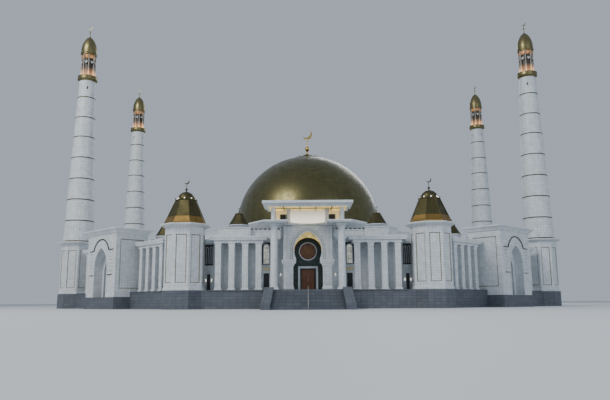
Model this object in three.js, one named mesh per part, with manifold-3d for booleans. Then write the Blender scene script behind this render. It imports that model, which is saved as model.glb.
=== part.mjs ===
import * as THREE from 'three';
import { mergeVertices } from 'three/addons/utils/BufferGeometryUtils.js';
import Module from 'manifold-3d';

const wasm = await Module();
wasm.setup();

// A domed mosque on an octagonal plan, as a 1:10 model.
// Lengths are millimetres of the model, so 100 here is one metre of the real building.
// The origin is on the dome's axis at the foot of the front steps. The front faces -Y.

// Driving dimensions: the plan, as distances from the axis to the middle of an octagon side
const podiumReach = 7760;
const columnLine = 7550;
const hallFace = 7045;
const coreFace = 5450;
const turretRing = 7520;

// Driving dimensions: heights above the podium's top
const podiumTop = 460;
const beamBottom = 1185;
const roofBottom = 1300;
const roofTop = 1340;
const parapetTop = 1750;
const coreRoofTop = 1720;
const domeSpring = 2530;

// Driving dimensions: thicknesses and clearances
const gap = 0.3;
const wallThickness = 60;
const slabThickness = 40;
const shellThickness = 50;
const pastFace = 1;

const eighthTurn = Math.PI / 4;
const sideRatio = Math.tan(Math.PI / 8);
const cornerRatio = 1 / Math.cos(Math.PI / 8);
const turretOffset = turretRing * sideRatio;

const marble = { color: 0xdde2e4, roughness: 0.45, metalness: 0 };
const greyStone = { color: 0x4a5055, roughness: 0.6, metalness: 0 };
const darkMarble = { color: 0x2c3a33, roughness: 0.4, metalness: 0 };
const gold = { color: 0xa8893a, roughness: 0.35, metalness: 1 };
const carvedWood = { color: 0x6b3f22, roughness: 0.55, metalness: 0 };
const tintedGlass = { color: 0x54402a, roughness: 0.2, metalness: 0 };

const building = new THREE.Group();

// Solids

function dropFlatTriangles(index) {
  const kept = [];
  for (let i = 0; i < index.length; i += 3) {
    const [a, b, c] = [index[i], index[i + 1], index[i + 2]];
    if (a !== b && b !== c && c !== a) kept.push(a, b, c);
  }
  return kept;
}

function signedVolume(positions, index) {
  const corner = (i) => new THREE.Vector3().fromArray(positions, 3 * i);
  let total = 0;
  for (let i = 0; i < index.length; i += 3) {
    total += corner(index[i]).dot(corner(index[i + 1]).cross(corner(index[i + 2])));
  }
  return total;
}

// A closed geometry becomes a solid that faces outwards and can be joined and cut.
function toSolid(geometry) {
  geometry.deleteAttribute('normal');
  geometry.deleteAttribute('uv');
  const merged = mergeVertices(geometry, 1e-3);
  const positions = Float32Array.from(merged.attributes.position.array);
  const index = dropFlatTriangles(merged.index.array);
  if (signedVolume(positions, index) < 0) index.reverse();
  const triVerts = Uint32Array.from(index);
  return new wasm.Manifold(new wasm.Mesh({ numProp: 3, vertProperties: positions, triVerts }));
}

function toGeometry(solid) {
  const { vertProperties, triVerts } = solid.getMesh();
  const geometry = new THREE.BufferGeometry();
  geometry.setAttribute('position', new THREE.BufferAttribute(vertProperties, 3));
  geometry.setIndex(new THREE.BufferAttribute(triVerts, 1));
  geometry.computeVertexNormals();
  return geometry;
}

const join = (...solids) => solids.flat().reduce((whole, piece) => whole.add(piece));
const cut = (solid, ...tools) => tools.flat().reduce((whole, tool) => whole.subtract(tool), solid);

function box(x0, x1, y0, y1, z0, z1) {
  const block = new THREE.BoxGeometry(x1 - x0, y1 - y0, z1 - z0);
  return toSolid(block.translate((x0 + x1) / 2, (y0 + y1) / 2, (z0 + z1) / 2));
}

// The same box on both sides of the x = 0 plane
const boxPair = (x0, x1, ...rest) => [box(x0, x1, ...rest), box(-x1, -x0, ...rest)];

function prism(points, z0, z1) {
  const outline = new THREE.Shape(points.map(([x, y]) => new THREE.Vector2(x, y)));
  const block = new THREE.ExtrudeGeometry(outline, { depth: z1 - z0, bevelEnabled: false });
  return toSolid(block.translate(0, 0, z0));
}

// An outline drawn in x and z, carried along y from y0 to y1
function upright(outline, y0, y1, curveSegments = 4) {
  const depth = y1 - y0;
  const block = new THREE.ExtrudeGeometry(outline, { depth, curveSegments, bevelEnabled: false });
  return toSolid(block.rotateX(Math.PI / 2).translate(0, y1, 0));
}

// An outline drawn in y and z, carried along x from x0 to x1
function sideways(points, x0, x1) {
  const outline = new THREE.Shape(points.map(([y, z]) => new THREE.Vector2(y, z)));
  const block = new THREE.ExtrudeGeometry(outline, { depth: x1 - x0, bevelEnabled: false });
  return toSolid(block.rotateX(Math.PI / 2).rotateZ(Math.PI / 2).translate(x0, 0, 0));
}

// A profile of [radius, z] points turned about the z axis
function turned(profile, segments) {
  const outline = profile.map(([radius, z]) => new THREE.Vector2(radius, z));
  return toSolid(new THREE.LatheGeometry(outline, segments).rotateX(Math.PI / 2));
}

// A turned profile with eight flat sides, measured to the middle of a side
function octagonal(profile) {
  const corners = profile.map(([reach, z]) => new THREE.Vector2(reach * cornerRatio, z));
  const shape = new THREE.LatheGeometry(corners, 8);
  return toSolid(shape.rotateX(Math.PI / 2).rotateZ(eighthTurn / 2));
}

function octagonPoints(reach, x = 0, y = 0) {
  const corner = (i) => {
    const angle = (i + 0.5) * eighthTurn;
    return [x + reach * cornerRatio * Math.cos(angle), y + reach * cornerRatio * Math.sin(angle)];
  };
  return Array.from({ length: 8 }, (_, i) => corner(i));
}

const octagonPrism = (reach, z0, z1, x = 0, y = 0) => prism(octagonPoints(reach, x, y), z0, z1);

// A pointed arch: straight sides up to the springing, then two arcs that meet at the apex
function pointedArch(halfWidth, sill, springing, apex) {
  const rise = apex - springing;
  const shift = (rise * rise - halfWidth * halfWidth) / (2 * halfWidth);
  const radius = halfWidth + shift;
  const sweep = Math.atan2(rise, shift);
  const arch = new THREE.Shape();
  arch.moveTo(-halfWidth, sill);
  arch.lineTo(halfWidth, sill);
  arch.lineTo(halfWidth, springing);
  arch.absarc(-shift, springing, radius, 0, sweep, false);
  arch.absarc(shift, springing, radius, Math.PI - sweep, Math.PI, false);
  return arch;
}

// A horseshoe arch: jambs, imposts that stand in, then a pointed arch wider than the throat
function horseshoeArch({ jamb, sill, impost, impostRise, throat, widest, centre, apex }) {
  const rise = apex - centre;
  const shift = (rise * rise - widest * widest) / (2 * widest);
  const radius = widest + shift;
  const sweep = Math.atan2(rise, shift);
  const start = -Math.acos((throat + shift) / radius);
  const arch = new THREE.Shape();
  arch.moveTo(-jamb, sill);
  arch.lineTo(jamb, sill);
  arch.lineTo(jamb, impost);
  arch.lineTo(throat, impost + impostRise);
  arch.absarc(-shift, centre, radius, start, sweep, false);
  arch.absarc(shift, centre, radius, Math.PI - sweep, Math.PI - start, false);
  arch.lineTo(-throat, impost + impostRise);
  arch.lineTo(-jamb, impost);
  return arch;
}

const moved = (solid, x, y, z = 0) => solid.translate([x, y, z]);

function addPart(name, solid, finish, { turn = 0, x = 0, y = 0 } = {}) {
  const mesh = new THREE.Mesh(toGeometry(solid), new THREE.MeshStandardMaterial(finish));
  mesh.name = name;
  mesh.rotation.z = turn;
  mesh.position.set(x, y, 0);
  building.add(mesh);
}

// Heights on the building are given above the podium's top.
const level = (height) => podiumTop + height;

// The eight sides, named as they are seen from the front, and what stands at each corner.
// Corner i lies between side i and the next one.
const sides = ['front', 'right_front', 'right', 'right_back', 'back', 'left_back', 'left', 'left_front'];
const cornerIsPavilion = [true, false, false, true, true, false, false, true];

// All eight turrets stand on the same octagon.
const turretReach = 472;
const cornerAngle = (i) => (i + 0.5) * eighthTurn - Math.PI / 2;
const cornerPlace = (i, distance) => [Math.cos, Math.sin].map((part) => distance * part(cornerAngle(i)));

const turretPlace = (i) => cornerPlace(i, turretRing * cornerRatio);
const turretPrisms = (reach, z1) => sides.map((_, i) => octagonPrism(reach, 0, z1, ...turretPlace(i)));

// The podium: one mass of stone that follows the building's outline

const baseStep = 30;
const gateDrop = 140;
const gateHalfWidth = 840;
const gateRear = 7260;
const gateFace = 8230;
const portalBaseHalfWidth = 1060;
const portalBaseFront = 8400;

function podium() {
  const platform = octagonPrism(podiumReach, 0, podiumTop);
  const turretBases = turretPrisms(turretReach + baseStep, podiumTop);
  const portalBase = box(-portalBaseHalfWidth, portalBaseHalfWidth, -portalBaseFront, 0, 0, podiumTop);
  const pocket = box(-gateHalfWidth - gap, gateHalfWidth + gap, -gateFace - baseStep, -gateRear + gap,
    podiumTop - gateDrop, podiumTop + pastFace);
  const gateBase = box(-gateHalfWidth - baseStep, gateHalfWidth + baseStep, -gateFace - baseStep, -gateRear,
    0, podiumTop - gateDrop);
  const onDiagonals = (solid) => [45, 135, 225, 315].map((degrees) => solid.rotate([0, 0, degrees]));
  return join(cut(join(platform, turretBases, portalBase), onDiagonals(pocket)), onDiagonals(gateBase));
}
addPart('podium', podium(), greyStone);

// The front steps: two flights between cheek walls, with a handrail down the middle

const stepsHalfWidth = 810;
const stepsRun = 1400;
const stepsPerFlight = 14;
const stepCount = 2 * stepsPerFlight;
const riser = podiumTop / (stepCount + 1);
const tread = stepsRun / stepCount;
const stepsFront = portalBaseFront + gap + stepsRun;
const cheekWidth = 210;
const cheekRise = 50;
const cheekFootRise = 130;
const cheekUpperLevel = 180;
const cheekLowerLevel = 160;
const cheekNose = 40;

// Step i counts down from the podium. Each flight is solid down to the ground.
const stepEdge = (i) => -portalBaseFront - gap - i * tread;
const stepHeight = (i) => podiumTop - (i + 1) * riser;

function flight(first, last) {
  const outline = [[stepEdge(first) - gap, 0]];
  for (let i = first; i < last; i += 1) {
    const back = i === first ? stepEdge(i) - gap : stepEdge(i);
    outline.push([back, stepHeight(i)], [stepEdge(i + 1), stepHeight(i)]);
  }
  outline.push([stepEdge(last), 0]);
  return sideways(outline, -stepsHalfWidth, stepsHalfWidth);
}

function cheekWall() {
  const outline = [
    [-portalBaseFront - gap, 0],
    [-portalBaseFront - gap, podiumTop + cheekRise],
    [-portalBaseFront - cheekUpperLevel, podiumTop + cheekRise],
    [-stepsFront + cheekLowerLevel, riser + cheekFootRise],
    [-stepsFront - cheekNose, riser + cheekFootRise],
    [-stepsFront - cheekNose, 0],
  ];
  return sideways(outline, stepsHalfWidth + gap, stepsHalfWidth + cheekWidth);
}

const railHeight = 95;
const railDepth = 14;
const railHalfWidth = 8;
const railSink = 8;
const postHalf = 5;
const railPastPost = 12;
const postSteps = [0, 4, 9, 13, 18, 22, 26];

function handrail() {
  const middle = (i) => stepEdge(i) - tread / 2;
  const posts = postSteps.map((i) => box(-postHalf, postHalf, middle(i) - postHalf, middle(i) + postHalf,
    stepHeight(i) + gap, stepHeight(i) + railHeight));
  const [top, foot] = [postSteps[0], postSteps.at(-1)];
  const [topY, footY] = [middle(top) + railPastPost, middle(foot) - railPastPost];
  const under = (i) => stepHeight(i) + railHeight - railSink;
  const [topUnder, footUnder] = [under(top), under(foot)];
  const rail = [
    [topY, topUnder], [topY, topUnder + railDepth], [footY, footUnder + railDepth], [footY, footUnder],
  ];
  return join(sideways(rail, -railHalfWidth, railHalfWidth), posts);
}

addPart('steps_upper', flight(0, stepsPerFlight), greyStone);
addPart('steps_lower', flight(stepsPerFlight, stepCount), greyStone);
addPart('steps_wall_right', cheekWall(), greyStone);
addPart('steps_wall_left', cheekWall().mirror([1, 0, 0]), greyStone);
addPart('steps_handrail', handrail(), greyStone);

// The entrance and its round window, between the side walls of the portal's screen

const screenHalfWidth = 620;
const entranceHalfWidth = screenHalfWidth - wallThickness - gap;
const entranceFront = 7200;
const entranceBack = 7110;
const doorHalfWidth = 172;
const doorHead = 542;
const roseZ = 990;
const roseRadius = 237;

// The hall's outer walls, one to a side, with the windows and doorways cut through

const slopedBand = [1245, 1287];
const bandProjection = 12;
const bandInset = 20;
const wideWindow = { halfWidth: 85, sill: 700, springing: 1120, apex: 1210 };
const wideDoorway = { halfWidth: 75, top: 445 };
const slenderLight = { halfWidth: 32, sill: 690, springing: 1100, apex: 1145 };
const slenderSpread = 50;
const slenderDoorway = { halfWidth: 45, top: 430 };

// A hole through the hall's wall, drawn about x = 0
const throughWall = (outline) => upright(outline, -pastFace, wallThickness + pastFace);

function windowTool({ halfWidth, sill, springing, apex }) {
  return throughWall(pointedArch(halfWidth, level(sill), level(springing), level(apex)));
}

function doorwayTool({ halfWidth, top }) {
  return box(-halfWidth, halfWidth, -pastFace, wallThickness + pastFace, level(0), level(top));
}

// A doorway below an arched window, centred at x
function archedBay(x) {
  return [windowTool(wideWindow), doorwayTool(wideDoorway)].map((tool) => moved(tool, x, -hallFace));
}

// A doorway below a pair of slender arched lights, centred at x
function pairedBay(x) {
  const light = (shift) => moved(windowTool(slenderLight), shift, 0);
  const tools = [light(-slenderSpread), light(slenderSpread), doorwayTool(slenderDoorway)];
  return tools.map((tool) => moved(tool, x, -hallFace));
}

// Where a side's end turrets stand, as tools that keep the walls and slabs clear of them
const turretTools = () => [1, -1].map((hand) =>
  octagonPrism(turretReach + gap, 0, level(parapetTop), hand * turretOffset, -turretRing));

function wallSlab() {
  const outer = hallFace * sideRatio - gap;
  const inner = (hallFace - wallThickness) * sideRatio - gap;
  const [front, back] = [-hallFace, wallThickness - hallFace];
  const plan = [[-outer, front], [outer, front], [inner, back], [-inner, back]];
  const slab = prism(plan, level(gap), level(roofBottom) - gap);
  const band = box(-outer + bandInset, outer - bandInset, front - bandProjection, front + pastFace,
    ...slopedBand.map(level));
  return cut(join(slab, band), turretTools());
}

const nearBay = 1080;
const farBay = 2575;
const diagonalBay = 1960;
const rearBays = [-2040, -1020, 0, 1020, 2040];
const gateDoorway = { halfWidth: 170, top: 560 };

function diagonalWall() {
  const { halfWidth, top } = gateDoorway;
  const [front, back] = [-hallFace - bandProjection - pastFace, -hallFace + wallThickness + pastFace];
  const doorway = box(-halfWidth, halfWidth, front, back, level(0), level(top));
  return cut(wallSlab(), doorway, archedBay(-diagonalBay), archedBay(diagonalBay));
}

const plainWall = () => cut(wallSlab(), rearBays.flatMap(archedBay));

// The right half of the front wall, with the slab beside the entrance door joined on by a return
function frontWall() {
  const returnStart = entranceHalfWidth - wallThickness;
  const [front, back] = [-hallFace - bandProjection - pastFace, -hallFace + wallThickness + pastFace];
  const portalClearance = box(-returnStart, returnStart, front, back, 0, level(roofTop));
  const otherHalf = box(-podiumReach, 0, -podiumReach, 0, 0, level(roofTop));
  const wall = cut(wallSlab(), portalClearance, otherHalf, archedBay(nearBay), pairedBay(farBay));
  const [foot, head, top] = [level(gap), level(doorHead) - gap, level(roofBottom) - gap];
  const slab = box(doorHalfWidth, entranceHalfWidth, -entranceFront, -entranceBack, foot, head);
  const lowReturn = box(returnStart, entranceHalfWidth, -entranceBack - pastFace, -entranceBack + pastFace,
    foot, head);
  const inReturn = box(returnStart, entranceHalfWidth, -entranceBack + gap, -hallFace + pastFace, foot, top);
  return join(wall, slab, lowReturn, inReturn);
}

// The porticoes: a slab on a row of square columns, carried at the back by the hall's wall

const columnHalf = 72;
const columnSpacing = 340;
const corniceBottom = 1250;
const frontFirstColumn = 1240;
const diagonalFirstColumn = 1120;
const columnsPerRow = 4;
const beamOverhang = 110;
const corniceOverhang = 90;
const corniceDepth = 130;
const beamHalf = 95;
const longRowCount = 14;

// Columns stand at these places along the side; the beam runs back as far as back.
function portico(places, [start, end], back) {
  const columns = places.map((x) => box(x - columnHalf, x + columnHalf, -columnLine - columnHalf,
    -columnLine + columnHalf, level(gap), level(beamBottom) + pastFace));
  const beamTop = level(corniceBottom) + pastFace;
  const beam = box(start, end, -columnLine - beamHalf, back, level(beamBottom), beamTop);
  const cornice = box(start - corniceOverhang, end + corniceOverhang, -columnLine - corniceDepth,
    Math.min(back, -hallFace - gap), level(corniceBottom), level(roofTop));
  return join(columns, beam, cornice);
}

const columnPlaces = (first, count) => Array.from({ length: count }, (_, i) => first + i * columnSpacing);
const beamEnds = (places) => [places[0] - beamOverhang, places.at(-1) + beamOverhang];

function frontPortico() {
  const places = columnPlaces(frontFirstColumn, columnsPerRow);
  return portico(places, beamEnds(places), -hallFace - bandProjection - gap);
}

// A diagonal side has a row each side of the gateway; a main side has one long row.
function diagonalSide() {
  const places = columnPlaces(diagonalFirstColumn, columnsPerRow);
  const row = portico(places, beamEnds(places), -hallFace + pastFace);
  return join(diagonalWall(), row, row.mirror([1, 0, 0]));
}

function plainSide() {
  const places = columnPlaces(-0.5 * (longRowCount - 1) * columnSpacing, longRowCount);
  return join(plainWall(), portico(places, beamEnds(places), -hallFace + pastFace));
}

addPart('hall_wall_front_right', frontWall(), marble);
addPart('hall_wall_front_left', frontWall().mirror([1, 0, 0]), marble);
addPart('portico_front_right', frontPortico(), marble);
addPart('portico_front_left', frontPortico().mirror([1, 0, 0]), marble);
sides.forEach((name, i) => {
  if (i === 0) return;
  addPart(`hall_side_${name}`, i % 2 === 1 ? diagonalSide() : plainSide(), marble, { turn: i * eighthTurn });
});

// The core: a wall round the prayer hall, open below to the hall's outer ring, a parapet with corner blocks,
// and the roofs

const arcadeHalfWidth = 1400;
const arcadeTop = 1120;
const blockFace = 5580;
const blockTop = 1820;
const blockLegs = { cardinal: 670, diagonal: 420 };
const ledge = 30;
const notchDepth = 145;

const allRound = (make) => sides.map((_, i) => make(i).rotate([0, 0, (i * 180) / 4]));

function octagonRing(outer, inner, z0, z1) {
  return cut(octagonPrism(outer, z0, z1), octagonPrism(inner, z0 - pastFace, z1 + pastFace));
}

function coreWall() {
  const inner = coreFace - wallThickness;
  const ring = octagonRing(coreFace, inner, level(gap), level(coreRoofTop) - slabThickness - gap);
  const upstand = octagonRing(coreFace, coreFace - ledge, level(roofTop), level(parapetTop));
  const opening = box(-arcadeHalfWidth, arcadeHalfWidth, -coreFace - pastFace, -inner + pastFace,
    level(0), level(arcadeTop));
  return join(cut(ring, allRound(() => opening)), upstand, sides.map((_, i) => cornerBlock(i)));
}

// The roof over the hall's outer ring keeps clear of the turrets and of the side walls of the entrance.
function ringRoof() {
  const slab = octagonRing(hallFace, coreFace + gap, level(roofBottom), level(roofTop));
  const turrets = turretPrisms(turretReach + gap, level(parapetTop));
  const entranceNotch = box(-entranceHalfWidth - gap, entranceHalfWidth + gap, -hallFace - pastFace,
    -hallFace + notchDepth, 0, level(roofTop) + pastFace);
  return cut(slab, turrets, entranceNotch);
}

const wedgeReach = 400;

// A block wraps each corner of the core, longer on the four main sides than on the diagonals.
function cornerBlock(i) {
  const block = octagonRing(blockFace, coreFace - ledge, level(roofTop) + gap, level(blockTop));
  const angles = [i, i + 1].map((side) => side * eighthTurn);
  const legs = [i, i + 1].map((side) => (side % 2 === 0 ? blockLegs.cardinal : blockLegs.diagonal));
  const half = blockFace * sideRatio;
  const along = (angle, distance, reach) => [
    distance * Math.cos(angle) + reach * Math.sin(angle),
    distance * Math.sin(angle) - reach * Math.cos(angle),
  ];
  const [near, far] = [blockFace - wedgeReach, blockFace + wedgeReach];
  const keep = prism([
    along(angles[0], half - legs[0], near),
    along(angles[0], half - legs[0], far),
    cornerPlace(i, far * cornerRatio),
    along(angles[1], legs[1] - half, far),
    along(angles[1], legs[1] - half, near),
    cornerPlace(i, near * cornerRatio),
  ], 0, level(blockTop) + pastFace);
  return block.intersect(keep);
}

const domeRadius = 2660;
const domeSegments = 36;

function coreRoof() {
  const inner = domeRadius - shellThickness;
  const underside = level(coreRoofTop) - slabThickness;
  const slab = octagonPrism(coreFace - ledge - gap, underside, level(coreRoofTop));
  const [below, above] = [underside - pastFace, level(coreRoofTop) + pastFace];
  const eye = turned([[0, below], [inner, below], [inner, above], [0, above]], domeSegments);
  const top = level(domeSpring) - gap;
  const drum = turned([
    [inner, underside], [domeRadius, underside], [domeRadius, top], [inner, top], [inner, underside],
  ], domeSegments);
  return join(cut(slab, eye), drum);
}

addPart('core_wall', coreWall(), marble);
addPart('ring_roof', ringRoof(), marble);
addPart('core_roof', coreRoof(), marble);

// The dome: a hemispherical shell cut flat under its cap, and the finial

const domeRows = 8;
const capRadius = 450;
const crescentTilt = 128;
const crescentBite = 1;
const crescentShift = 0.47;
const mastReach = 0.9;

const flatTop = (radius, top) => Math.sqrt(radius * radius - top * top);

function domeShell() {
  const arc = (radius, end) => {
    const last = Math.acos(end / radius);
    return Array.from({ length: domeRows + 1 }, (_, i) => {
      const angle = (last * i) / domeRows;
      return [radius * Math.cos(angle), level(domeSpring) + radius * Math.sin(angle)];
    });
  };
  const outer = arc(domeRadius, capRadius);
  const inner = arc(domeRadius - shellThickness, capRadius);
  return turned([[0, inner.at(-1)[1]], ...inner.reverse(), ...outer, [0, outer.at(-1)[1]]], domeSegments);
}

// A crescent in the x-z plane: two arcs between its tips. It opens towards the tilt angle.
function crescent(radius, thickness, segments) {
  const bite = crescentBite * radius;
  const shift = crescentShift * radius;
  const tipX = (radius * radius - bite * bite + shift * shift) / (2 * shift);
  const tipY = Math.sqrt(radius * radius - tipX * tipX);
  const outerAngle = Math.atan2(tipY, tipX);
  const innerAngle = Math.atan2(tipY, tipX - shift);
  const outline = new THREE.Shape();
  outline.absarc(0, 0, radius, outerAngle, 2 * Math.PI - outerAngle, false);
  outline.absarc(shift, 0, bite, 2 * Math.PI - innerAngle, innerAngle, true);
  return upright(outline, -thickness / 2, thickness / 2, segments).rotate([0, -crescentTilt, 0]);
}

// A finial stands on z0: a mast with a ball, and a crescent at the top.
function finial({ z0, ballZ, ball, mast, crescentZ, crescentRadius, segments = 6 }) {
  const waist = ball * Math.SQRT1_2;
  const top = crescentZ - mastReach * crescentRadius;
  const stem = turned([
    [0, z0], [mast, z0], [mast, ballZ - ball], [waist, ballZ - waist], [ball, ballZ],
    [waist, ballZ + waist], [mast * 0.7, ballZ + ball], [mast * 0.5, top], [0, top],
  ], segments);
  return join(stem, crescent(crescentRadius, mast * 0.9, segments).translate([0, 0, crescentZ]));
}

const capRim = 40;
const capHeight = 170;
const capNeck = 120;
const capSegments = 16;
const topRod = { ballZ: 5560, ball: 90, mast: 30, crescentZ: 6140, crescentRadius: 195, segments: 12 };

// The rod's heights are given above the podium's top, as everywhere on the building.
function rodOn(z0, rod) {
  return finial({ ...rod, z0: level(z0), ballZ: level(rod.ballZ), crescentZ: level(rod.crescentZ) });
}

function domeFinial() {
  const seat = domeSpring + flatTop(domeRadius, capRadius) + gap;
  const cap = turned([
    [0, level(seat)], [capRadius, level(seat)], [capRadius, level(seat + capRim)],
    [capNeck, level(seat + capHeight)], [0, level(seat + capHeight)],
  ], capSegments);
  return join(cap, rodOn(seat + capRim, topRod));
}

addPart('dome', domeShell(), gold);
addPart('dome_finial', domeFinial(), gold);

// Eight kiosks with gold tent roofs stand on the core's roof, one at each corner.

const kioskRing = 5361;
const kioskWall = 35;
const kioskReach = 270;
const kioskTop = 2355;
const kioskRod = { ballZ: 2395, ball: 16, mast: 7, crescentZ: 2495, crescentRadius: 38, segments: 4 };

// Each profile below lists [reach or radius, height above the podium's top].
const raised = (profile) => profile.map(([reach, height]) => [reach, level(height)]);

function kiosk() {
  const inner = kioskReach - kioskWall;
  const shell = octagonal(raised([
    [0, 2250], [inner, 1965], [inner, coreRoofTop + gap], [kioskReach, coreRoofTop + gap], [kioskReach, 1915],
    [335, 1930], [335, 1955], [285, 1975], [112, 2290], [0, kioskTop],
  ]));
  return join(shell, rodOn(kioskTop - 25, kioskRod));
}

sides.forEach((name, i) => {
  const next = sides[(i + 1) % sides.length];
  const [x, y] = cornerPlace(i, kioskRing);
  addPart(`kiosk_${name}_to_${next}`, kiosk(), gold, { x, y });
});

// The turrets at the corners all stand on one hollow octagonal tower with a cornice and recessed panels.
// Pavilions carry a gold tent roof on it, and minarets a shaft.

const recess = 12;
const towerTop = 1650;
const towerCornice = [[turretReach, 1540], [500, 1565], [575, 1600], [600, 1625], [600, towerTop]];
const towerPanel = { halfWidth: 125, foot: 140, head: 1420 };

// Tools that sink a panel into each of the eight faces
function panelTools() {
  const { halfWidth, foot, head } = towerPanel;
  return allRound(() =>
    box(-halfWidth, halfWidth, -turretReach - pastFace, -turretReach + recess, level(foot), level(head)));
}

function pavilionBody() {
  const inner = turretReach - wallThickness;
  const tower = octagonal(raised([
    [inner, gap], [turretReach, gap], ...towerCornice, [inner, towerTop], [inner, gap],
  ]));
  return cut(tower, panelTools());
}

const cupolaSegments = 12;
const cupolaTop = 2515;
const pavilionRod = { ballZ: 2575, ball: 32, mast: 12, crescentZ: 2785, crescentRadius: 70 };

function pavilionRoof() {
  const foot = towerTop + gap;
  const tent = octagonal(raised([
    [0, 2245], [230, 2230], [445, 1735], [470, foot], [500, foot], [500, 1700], [470, 1740],
    [254, 2270], [0, 2270],
  ]));
  const cupola = turned(raised([
    [0, 2260], [215, 2260], [215, 2330], [195, 2400], [150, 2460], [80, 2500], [0, cupolaTop],
  ]), cupolaSegments);
  return join(tent, cupola, rodOn(cupolaTop - 15, pavilionRod));
}

// Minarets: a tapering round shaft on the tower, and an open lantern under a pointed dome

const shaftTop = 7180;
const shaftFoot = 478;
const shaftHead = 267;
const shaftSegments = 24;
const shaftSeat = towerTop - 50;
const roomTop = 1560;
const slits = [
  { z: 1730, halfWidth: 18, height: 60 }, { z: 2030, halfWidth: 18, height: 60 },
  { z: 6850, halfWidth: 22, height: 110 },
];

// The slits look four ways, the first straight out from the middle of the building.
function slitTools(corner) {
  const outwards = (cornerAngle(corner) * 180) / Math.PI;
  const tool = ({ z, halfWidth, height }) =>
    box(0, shaftFoot + pastFace, -halfWidth, halfWidth, level(z), level(z + height));
  return [0, 90, 180, 270].flatMap((quarter) =>
    slits.map((slit) => tool(slit).rotate([0, 0, outwards + quarter])));
}

function minaretShaft(corner) {
  const tower = octagonal(raised([[0, gap], [turretReach, gap], ...towerCornice, [0, towerTop]]));
  const shaft = turned(raised([
    [0, shaftSeat], [shaftFoot, shaftSeat], [shaftFoot, towerTop], [shaftHead, shaftTop], [0, shaftTop],
  ]), shaftSegments);
  const room = octagonPrism(turretReach - wallThickness, 0, level(roomTop));
  const [wellFoot, wellTop] = [roomTop - wallThickness, shaftTop + pastFace];
  const well = turned(raised([
    [0, wellFoot], [turretReach - wallThickness, wellFoot], [shaftFoot - wallThickness, towerTop],
    [shaftHead - wallThickness, wellTop], [0, wellTop],
  ]), shaftSegments);
  return cut(join(tower, shaft), room, well, panelTools(), slitTools(corner));
}

const lanternSegments = 12;
const balconyFloor = 7270;
const balconyTop = 7345;
const balconyReach = 325;
const balconyWall = 25;
const lanternRing = 222;
const lanternPostHalf = 25;
const crownFoot = 8140;
const crownInner = 200;
const crownTop = 8830;
const minaretRod = { ballZ: 8980, ball: 28, mast: 12, crescentZ: 9165, crescentRadius: 75 };

function minaretLantern() {
  const foot = shaftTop + gap;
  const inside = balconyReach - balconyWall;
  const balcony = turned(raised([
    [0, foot], [shaftHead, foot], [balconyReach, 7235], [balconyReach, balconyTop], [inside, balconyTop],
    [inside, balconyFloor], [0, balconyFloor],
  ]), lanternSegments);
  const post = box(-lanternPostHalf, lanternPostHalf, -lanternPostHalf, lanternPostHalf,
    level(balconyFloor) - pastFace, level(crownFoot) + pastFace);
  const posts = allRound(() => moved(post, 0, lanternRing).rotate([0, 0, 22.5]));
  const crown = turned(raised([
    [0, 8650], [crownInner, 8350], [crownInner, crownFoot], [274, crownFoot], [274, 8235], [256, 8240],
    [256, 8330], [245, 8440], [215, 8550], [165, 8665], [85, 8765], [0, crownTop],
  ]), lanternSegments);
  return join(balcony, posts, crown, rodOn(crownTop - 40, minaretRod));
}

sides.forEach((name, i) => {
  const next = sides[(i + 1) % sides.length];
  const [x, y] = turretPlace(i);
  if (cornerIsPavilion[i]) {
    addPart(`pavilion_${name}_to_${next}`, pavilionBody(), marble, { x, y });
    addPart(`pavilion_roof_${name}_to_${next}`, pavilionRoof(), gold, { x, y });
  } else {
    addPart(`minaret_${name}_to_${next}`, minaretShaft(i), marble, { x, y });
    addPart(`minaret_lantern_${name}_to_${next}`, minaretLantern(), gold, { x, y });
  }
});

// Gateways: a block on each diagonal with a deep arched niche and a passage through to the hall

const nicheDepth = 250;
const gateNiche = { halfWidth: 370, springing: 700, apex: 1240 };
const gatePassage = { halfWidth: 260, springing: 560, apex: 960 };
const gatePanel = { margin: 130, foot: 90, head: 1450 };
const gateTop = 1650;
const gateCornice = [
  { side: 60, front: 40, z0: 1620, z1: 1660 }, { side: 80, front: 60, z0: 1659, z1: 1690 },
  { side: 120, front: 90, z0: 1689, z1: 1750 },
];

function gateway() {
  const foot = podiumTop - gateDrop + gap;
  const block = box(-gateHalfWidth, gateHalfWidth, -gateFace, -gateRear, foot, level(gateTop));
  const cornice = gateCornice.map(({ side, front, z0, z1 }) => {
    const half = gateHalfWidth + side;
    return box(-half, half, -gateFace - front, -gateRear + front / 2, level(z0), level(z1));
  });
  const arch = ({ halfWidth, springing, apex }) =>
    pointedArch(halfWidth, foot - pastFace, level(springing), level(apex));
  const before = -gateFace - pastFace;
  const niche = upright(arch(gateNiche), before, -gateFace + nicheDepth);
  const passage = upright(arch(gatePassage), before, -gateRear + pastFace);
  const panels = boxPair(gateHalfWidth - recess, gateHalfWidth + pastFace, -gateFace + gatePanel.margin,
    -gateRear - gatePanel.margin, level(gatePanel.foot), level(gatePanel.head));
  return cut(join(block, cornice), niche, passage, panels);
}

sides.forEach((name, i) => {
  if (i % 2 === 1) addPart(`gateway_${name}`, gateway(), marble, { turn: i * eighthTurn });
});

// The front portal: an arched screen with side walls, a porch roof on two columns, a canopy above it,
// and a link back to the core

const screenFront = 7600;
const screenBack = 7500;
const screenTop = 1605;
const screenArch = {
  jamb: 370, impost: 750, impostRise: 20, throat: 304, widest: 345, centre: 990, apex: 1460,
};

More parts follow.
